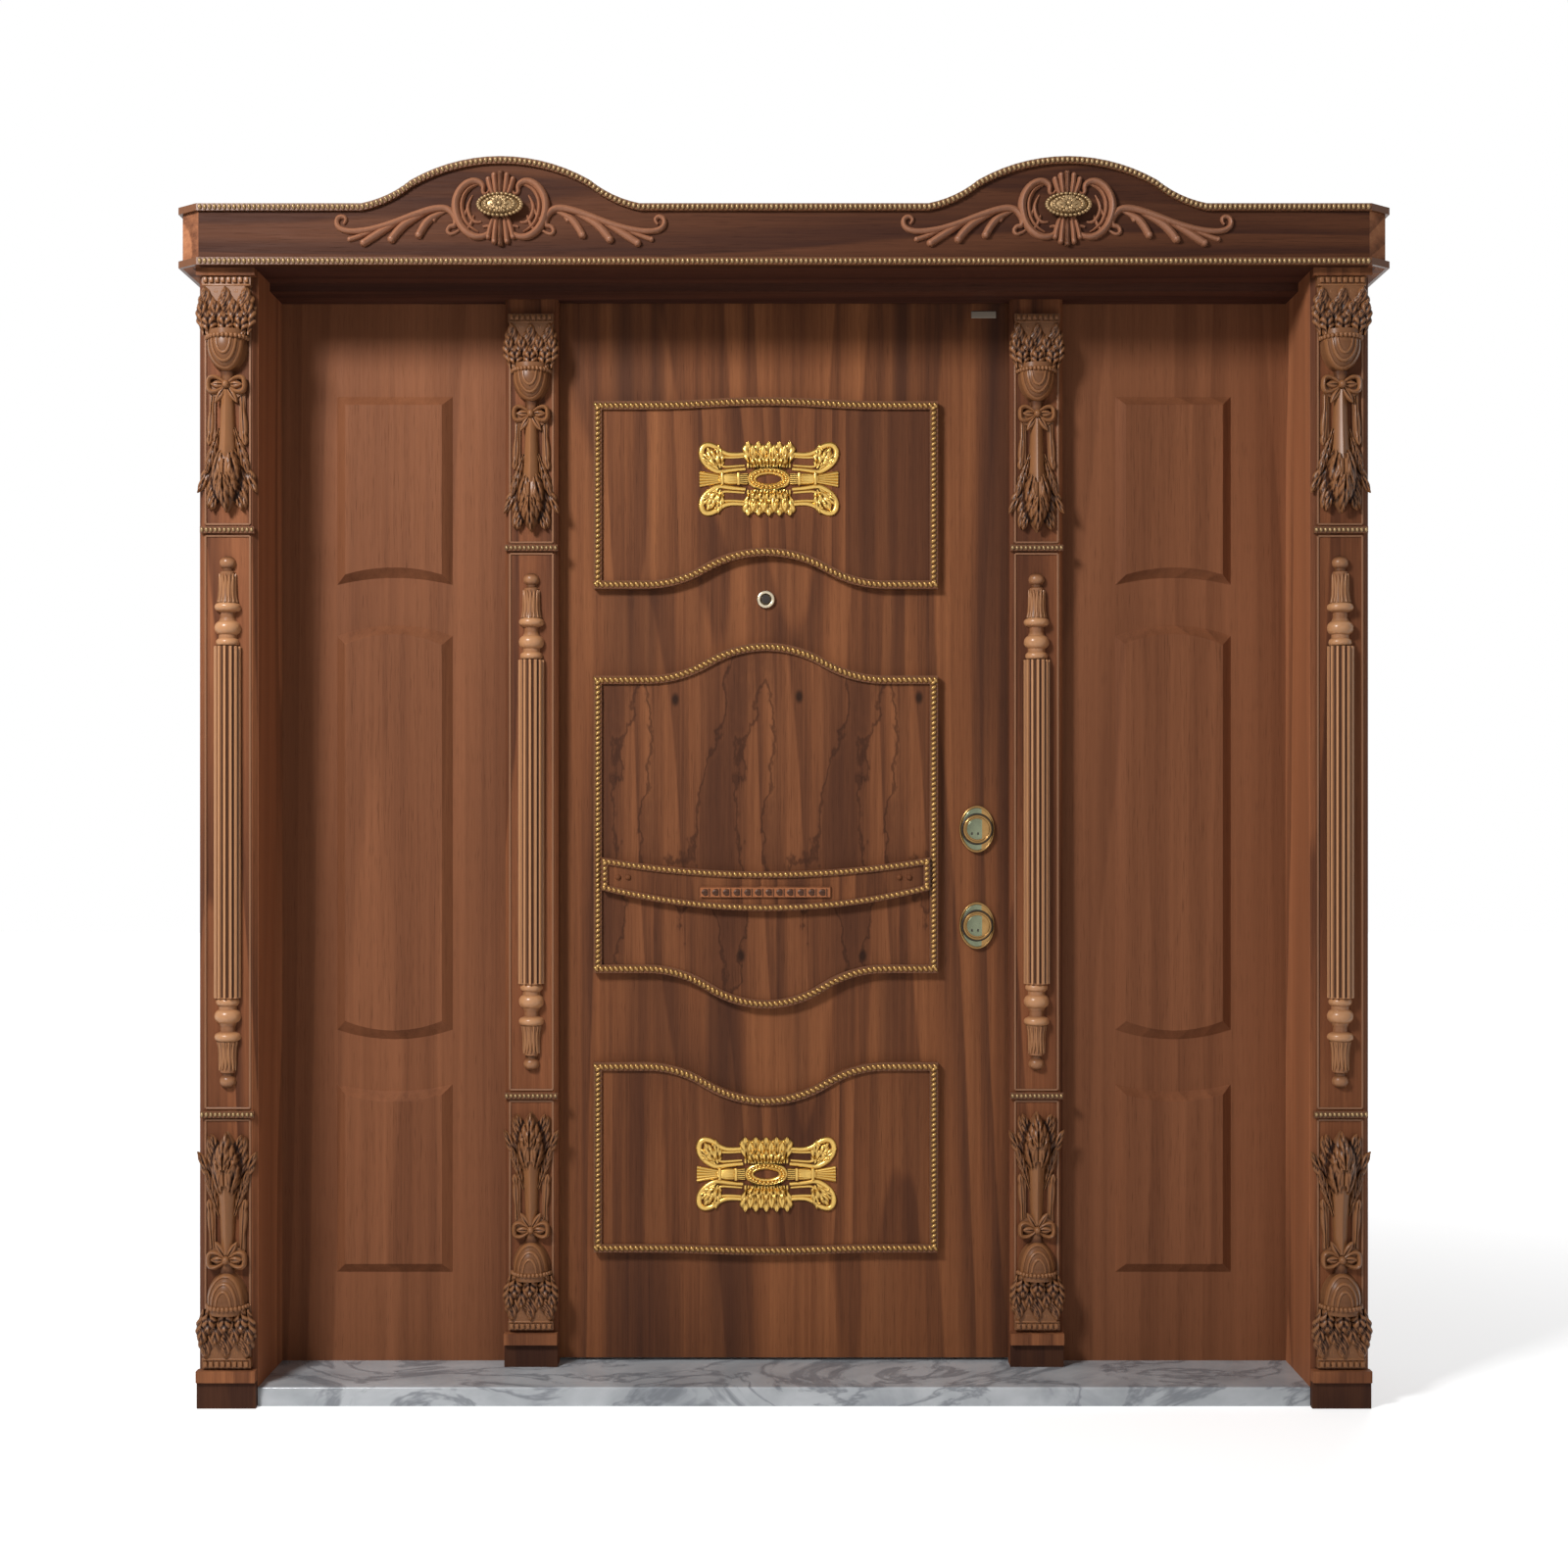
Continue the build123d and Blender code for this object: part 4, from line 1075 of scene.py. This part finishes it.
# %% Carve the scrolls
def carve_cartouche():
    """The C-scrolls with a flute and inner curls, drawn on the left and mirrored."""
    big_c = [(-20, 33), (-25, 22), (-34, 26), (-31, 41), (-48, 50), (-70, 40), (-85, 14), (-84, -14),
             (-73, -40), (-52, -57), (-30, -56), (-18, -45), (-23, -34), (-33, -38)]
    parts = both(stroke(big_c, [2.5, 4, 7.5, 8.5, 7.5, 4.5, 2.5], 1.6))
    flute = [(-40, 42), (-58, 38), (-73, 14), (-72, -14), (-60, -38), (-42, -47)]
    parts += both(stroke(flute, [1.5, 3.6, 4.2, 4.2, 3.6, 1.5], 2.0))
    inner = [(-52, 22), (-62, 6), (-60, -14), (-48, -32), (-36, -28)]
    parts += both(stroke(inner, [1.5, 3.6, 4.4, 3.6, 2], 1.5))
    for line in ([(-80, -32), (-67, -18), (-59, 4)], [(-67, -48), (-54, -34), (-50, -16)]):
        parts += both(stroke(line, [1.5, 5, 2], 1.7))
    return parts


def carve_arms():
    """An arm to each side, with leaves that sweep down from it and end in a round tip."""
    arm = [(-78, -44), (-92, -54), (-101, -46), (-95, -36), (-84, -36), (-84, -20), (-98, -3), (-122, -3),
           (-160, -15), (-205, -33), (-250, -45), (-288, -47), (-306, -38), (-307, -22), (-295, -17),
           (-287, -25), (-294, -33)]
    parts = both(stroke(arm, [2.5, 4, 4.5, 6.5, 7.5, 7, 6, 5, 4.5, 2.5], 1.6))
    for line, thick in (
        ([(-110, -8), (-119, -14), (-125, -25)], 4.5),
        ([(-103, -9), (-124, -16), (-143, -33), (-153, -53)], 8),
        ([(-140, -10), (-166, -20), (-184, -39)], 6),
        ([(-134, -11), (-166, -24), (-191, -42), (-204, -61)], 8.5),
        ([(-182, -22), (-212, -36), (-237, -53)], 6),
        ([(-176, -22), (-212, -40), (-238, -56), (-256, -68)], 8),
        ([(-222, -38), (-252, -52), (-282, -61)], 5.5),
    ):
        parts += both(stroke(line, [2, 0.8 * thick, thick, 0.9 * thick], 1.5))
        parts += both(bead(0.95 * thick, 0.95 * thick, 1.4 * thick), *line[-1])
    return parts


def carve_palmettes():
    """Ribs that fan out above and below the oval."""
    parts = []
    for up, tall in ((1, 62), (-1, -69)):
        for x, spread, share, thick in ((0, 0, 1.0, 7), (-7, -12, 0.94, 6.5), (-12, -23, 0.82, 6)):
            rib = [(x, 20 * up), (0.4 * x + 0.6 * spread, 0.6 * share * tall), (spread, share * tall)]
            parts += both(stroke(rib, [0.7 * thick, thick, 0.9 * thick], 1.9))
            parts += both(bead(0.9 * thick, 0.95 * thick, 1.7 * thick), *rib[-1])
    return parts


def carve_boss():
    """The gilt oval: a domed plate with two rings of beads and a small rosette."""
    parts = [bead(41, 20, 14)]
    for rx, ry, count, height in ((40, 20, 30, 6), (27, 13, 20, 10)):
        parts += [lay(bead(4.4, 3.6, 4.5), x, y, height) for x, y in oval_points(rx, ry, count)]
    for i, (x, y) in enumerate(oval_points(4, 3, 10)):
        parts.append(lay(petal(14, 9, 5, vein=0.4), x, y, 12, turn=36 * i - 90))
    parts.append(lay(bead(5, 5, 4), 0, 0, 15))
    return soften(join(parts, "boss"), 50)


# %% Hang the scrolls
scroll = soften(join(carve_cartouche() + carve_arms() + carve_palmettes(), "scroll"), 50)
boss = carve_boss()
print("one scroll has", len(scroll.data.polygons), "faces")
scroll_z, boss_front = 2.256, 0.010
for side, sign in (("left", -1), ("right", 1)):
    piece = hang(copy_of(scroll), sign * crest_x, fascia_y, scroll_z)
    piece.name = f"{side}_cornice_scroll"
    finish_piece(piece, scroll_wood, "frame", replaces=("cornice_scrolls",))
    oval = hang(copy_of(boss), sign * crest_x, fascia_y - boss_front, scroll_z)
    oval.name = f"{side}_scroll_boss"
    finish_piece(oval, bead_gold, "frame")
bpy.data.objects.remove(scroll)
bpy.data.objects.remove(boss)

# %% [markdown]
# ## Gilt mounts
# Each mount is cast openwork: an oval ring, shells above and below it, ribbon loops at the
# four corners and a flared tassel at each side. A plate with holes would look stamped, so
# the mount is put together from the same leaves, beads and strands as the carving.


# %% Cast the mounts
def mount_centre():
    """Two oval rings with a row of beads between them."""
    parts = []
    for rx, ry, thick in ((40, 21, 4.5), (29, 13, 4.0)):
        parts.append(stroke(oval_points(rx, ry, 16), [thick, thick], 1.2, closed=True))
    return parts + [lay(bead(3.6, 3.2, 4.2), x, y, 3.5) for x, y in oval_points(34.5, 17, 26)]


def mount_shell(up):
    """Three tiers of leaves above the oval, or below it where up is -1."""
    way = 90 - 90 * up
    parts = []
    for i in range(-2, 3):
        leaf = petal(52, 25, 7, lobes=3, vein=0.7, tip=1.5, curl=3)
        parts.append(lay(leaf, 19 * i, up * 22, 1, turn=way - up * 2.0 * i))
    for i in (-1.5, -0.5, 0.5, 1.5):
        leaf = petal(44, 17, 8, vein=0.7, tip=1.7, curl=4)
        parts.append(lay(leaf, 19 * i, up * 22, 4, turn=way - up * 3.0 * i))
    for i in range(-2, 3):
        leaf = petal(27, 17, 8, lobes=2, vein=0.7, curl=4)
        parts.append(lay(leaf, 12 * i, up * 23, 7, turn=way - up * 10 * i))
    return parts


def mount_ribbons(up):
    """A ribbon loop at each side, with a fold, three leaves and a row of beads in it."""
    rim = [(-48, 50), (-72, 47), (-92, 53), (-108, 66), (-126, 69), (-135, 56), (-131, 36), (-116, 22),
           (-98, 13), (-74, 18), (-46, 20)]
    fold = [(-50, 44), (-74, 42), (-92, 44), (-100, 34), (-92, 24), (-72, 25), (-48, 27)]
    parts = []
    for line, radii in ((rim, [4.2, 5, 6, 6.5, 6, 5, 3.6]), (fold, [2.4, 2.8, 3.2, 2.8, 2.2])):
        parts += both(stroke([(x, up * y) for x, y in line], radii))
    for x, y, length, width, turn in (
        (-98, 20, 50, 22, 30), (-103, 24, 46, 18, 52), (-94, 24, 46, 18, 8),
    ):
        leaf = petal(length, width, 7, lobes=3, vein=0.7)
        parts += both(leaf, x, up * y, 1, turn=90 + up * (turn - 90))
    for i in range(4):
        parts += both(bead(3.4, 3.4, 4), -105 - 6 * i, up * (58 - 9 * i), 4)
    return parts


def mount_tassels():
    """A tassel at each side: reeds, two collars and a flared end."""
    parts = []
    for i in range(-2, 3):
        parts += both(petal(58, 12, 7, vein=0.6, tip=1.4, foot=0.7), -42, 4.0 * i, 1, turn=90 + 2.0 * i)
        parts += both(stroke([(-88, 2.2 * i), (-110, 3.8 * i), (-137, 6.4 * i)], [3.2, 4.0], 1.2))
    for x in (-60, -92):
        parts += both(block(6, 25, 9, 2), x)
    return parts


# %% Hang the mounts
castings = mount_centre()
for up in (1, -1):
    castings += mount_shell(up) + mount_ribbons(up)
mount = soften(join(castings + mount_tassels(), "mount"), 50)
print("one mount has", len(mount.data.polygons), "faces")
panel_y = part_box("upper_raised_panel")[0][1]
mount_places = ((-0.030, 1.782), (-0.035, 0.408))
mounts = join([hang(copy_of(mount), x, panel_y, z) for x, z in mount_places], "gilt_mount_castings")
bpy.data.objects.remove(mount)
finish_piece(mounts, mount_gilt, "leaf", replaces=("gilt_mounts",))

# %% [markdown]
# ## Locks
# Each lock has a flat oval plate with a rounded rim, a round guard and a half-moon cover
# with two key slots. Slots could be cut through the cover, but small dark blocks set flush
# with it stand in as painted shade for the openings and leave its faces clean. A dark ring
# round the guard is painted shade for the groove there.


# %% Locks
def disc(rx, ry, depth, ease):
    """An oval plate with a rounded front edge, standing on the bench."""
    bpy.ops.object.select_all(action="DESELECT")
    bpy.ops.mesh.primitive_cylinder_add(vertices=64, radius=1, depth=1, location=(0, 0, 0.5))
    plate = bpy.context.object
    plate.matrix_world = Matrix.Diagonal((rx * MM, ry * MM, depth * MM, 1)) @ plate.matrix_world
    settle(plate)
    rim = plate.modifiers.new("rim", "BEVEL")
    rim.width = ease * MM
    rim.segments = 4
    rim.limit_method = "ANGLE"
    return apply_all(plate)


def ring(rx, ry, thick, z):
    """A round-section ring lying on the bench."""
    return lay(stroke(oval_points(rx, ry, 20), [thick, thick], closed=True), 0, 0, z)


def half_moon(plate, x):
    """Cuts a plate off straight, x millimetres right of its middle."""
    only(plate)
    bpy.ops.object.mode_set(mode="EDIT")
    bpy.ops.mesh.select_all(action="SELECT")
    bpy.ops.mesh.bisect(plane_co=(x * MM, 0, 0), plane_no=(1, 0, 0), clear_outer=True, use_fill=True)
    bpy.ops.object.mode_set(mode="OBJECT")
    return plate


def make_lock():
    """Three sets of pieces for one lock: brass rims, nickel faces, and key slots and a groove ring in
    painted shade.
    """
    rims = [
        disc(34.5, 46.5, 7, 3), ring(33, 45, 2.2, 6.5), disc(28, 28, 15, 2.5), ring(26, 26, 2.6, 15),
    ]
    plates = [disc(30, 42, 9, 1.5), disc(21, 21, 19, 1.2)]
    faces = [half_moon(plate, 9) for plate in plates]
    slots = [lay(block(3.4, 5, 20, 0.6), x, -9) for x in (-11, 1)]
    # A dark ring round the guard: painted shade in the groove between face and guard.
    slots.append(ring(29.5, 29.5, 2.4, 9))
    return soften(join(rims, "rims"), 35), soften(join(faces, "faces"), 35), join(slots, "slots")


leaf_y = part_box("door_leaf")[0][1]
lock_x, lock_heights = 0.382, (0.899, 1.090)
lock_pieces = {
    "lock_plates": (lock_brass, ("lock_escutcheons",)),
    "lock_faces": (lock_nickel, ()),
    "lock_key_slots": (shade_metal, ()),
}
for piece, (name, (finish, replaces)) in zip(make_lock(), lock_pieces.items()):
    pair = [hang(copy_of(piece), lock_x, leaf_y, z) for z in lock_heights]
    bpy.data.objects.remove(piece)
    finish_piece(join(pair, name), finish, "leaf", replaces=replaces)
print(len(lock_heights), "locks at", lock_heights)

# %% [markdown]
# ## Arrow strip, knobs, bare plate and peephole
# A reddish strip on the band carries a row of small arrow cuts, each a dark leaf and a bar laid
# on it as painted shade for the cut, and two wooden knobs sit at each end of the band. A small
# plate at the leaf's upper right is left bare, and the peephole gets a dark lens, painted shade
# for the dark tube seen through it.

# %% Arrow strip and knobs
band_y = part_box("lock_band")[0][1]
strip_x, strip_z = -0.037, 0.9655
strip = hang(join([block(256, 19, 1, 0.4)], "band_strip_face"), strip_x, band_y, strip_z)
finish_piece(strip, strip_wood, "leaf")
arrow_count, arrow_pitch = 12, 21.0
arrows = []
for i in range(arrow_count):
    head = petal(13, 15, 2.5, vein=0.2, tip=0.7, foot=0.9)
    arrows.append(lay(head, -113 + arrow_pitch * i, 0, 0.8, turn=90))
    arrows.append(lay(block(2.2, 15, 2.4, 0.6), -110 + arrow_pitch * i, 0, 0.4))
cuts = hang(join(arrows, "band_arrow_cuts"), strip_x, band_y, strip_z)
finish_piece(cuts, arrow_wood, "leaf")
knob_sink, knob_z = 0.004, 0.995
for side, knob_x in (("left", -0.318), ("right", 0.236)):
    pair = [lay(bead(6, 6, 5), -9), lay(bead(6, 6, 5), 11)]
    knobs = hang(join(pair, f"band_knobs_{side}"), knob_x, band_y + knob_sink, knob_z)
    finish_piece(soften(knobs, 60), panel_veneer, "leaf")
print(arrow_count, "arrow cuts on the band")

# %% Bare plate and lens
plate = hang(join([block(50, 14, 2, 1.2)], "bare_plate"), 0.396, leaf_y, 2.110)
finish_piece(plate, plate_bronze, "leaf")
low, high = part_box("peephole")
lens_x, lens_z = (low[0] + high[0]) / 2, (low[2] + high[2]) / 2
# The lens is dark metal: painted shade for the dark tube seen through it.
lens = hang(join([disc(9, 9, 2.5, 1.2)], "peephole_lens"), lens_x, low[1] + 0.0012, lens_z)
finish_piece(lens, shade_metal, "leaf")
print("peephole lens at", lens_x, lens_z)

# %% [markdown]
# ## Stage, light and camera
# The door stands on a pale floor in a white room. More light would make them white, but it
# would bleach the wood too. So floor and world glow only where they are looked at, and the
# door has its own lamps: a soft key from the upper left, a weak fill and one for the back.

# %% Stage
bpy.ops.object.select_all(action="DESELECT")
bpy.ops.mesh.primitive_plane_add(size=30)
floor = bpy.context.object
floor.name = "studio_floor"
pale = Finish("studio floor")
away = pale.node("ShaderNodeVectorMath", {"operation": "LENGTH"}, {0: pale.here}, out="Value")
glow = pale.in_view() * pale.span(away, 1.2, 5.0, 0.5, 0.88)
pale.set(Base_Color=(0.85, 0.85, 0.85, 1), Roughness=0.75, Emission_Strength=1.0)
pale.set(Emission_Color=pale.ramp(glow, [(0.0, (0, 0, 0)), (1.0, (1, 1, 1))]))
floor.data.materials.append(pale.material)

ambient = 0.20
bpy.context.scene.world = bpy.data.worlds.new("studio")
sky = Finish("studio", bpy.context.scene.world)
sky.set(Color=(1, 1, 1, 1), Strength=ambient + (1 - ambient) * sky.in_view())


# %% Lamps and camera
def lamp(name, place, aim, size, power):
    bpy.ops.object.light_add(type="AREA", location=place)
    light = bpy.context.object
    light.name = name
    light.data.size = size
    light.data.energy = power
    light.rotation_euler = (Vector(aim) - Vector(place)).to_track_quat("-Z", "Y").to_euler()


lamp("key", (-2.2, -2.9, 3.5), (0, 0, 1.1), 0.8, 172)
lamp("fill", (1.6, -5.0, 1.2), (0, 0, 1.1), 2.6, 14)
lamp("back", (2.4, 4.6, 3.0), (0, 0.2, 1.1), 2.4, 60)

bpy.ops.object.camera_add(location=(0, -3.94, 1.121), rotation=(pi / 2, 0, 0))
camera = bpy.context.object
camera.data.lens = 46.3
camera.data.sensor_width = 36
camera.data.shift_y = 0.01875
bpy.context.scene.camera = camera
bpy.context.scene.view_settings.view_transform = "Standard"
print("camera at", tuple(camera.location))
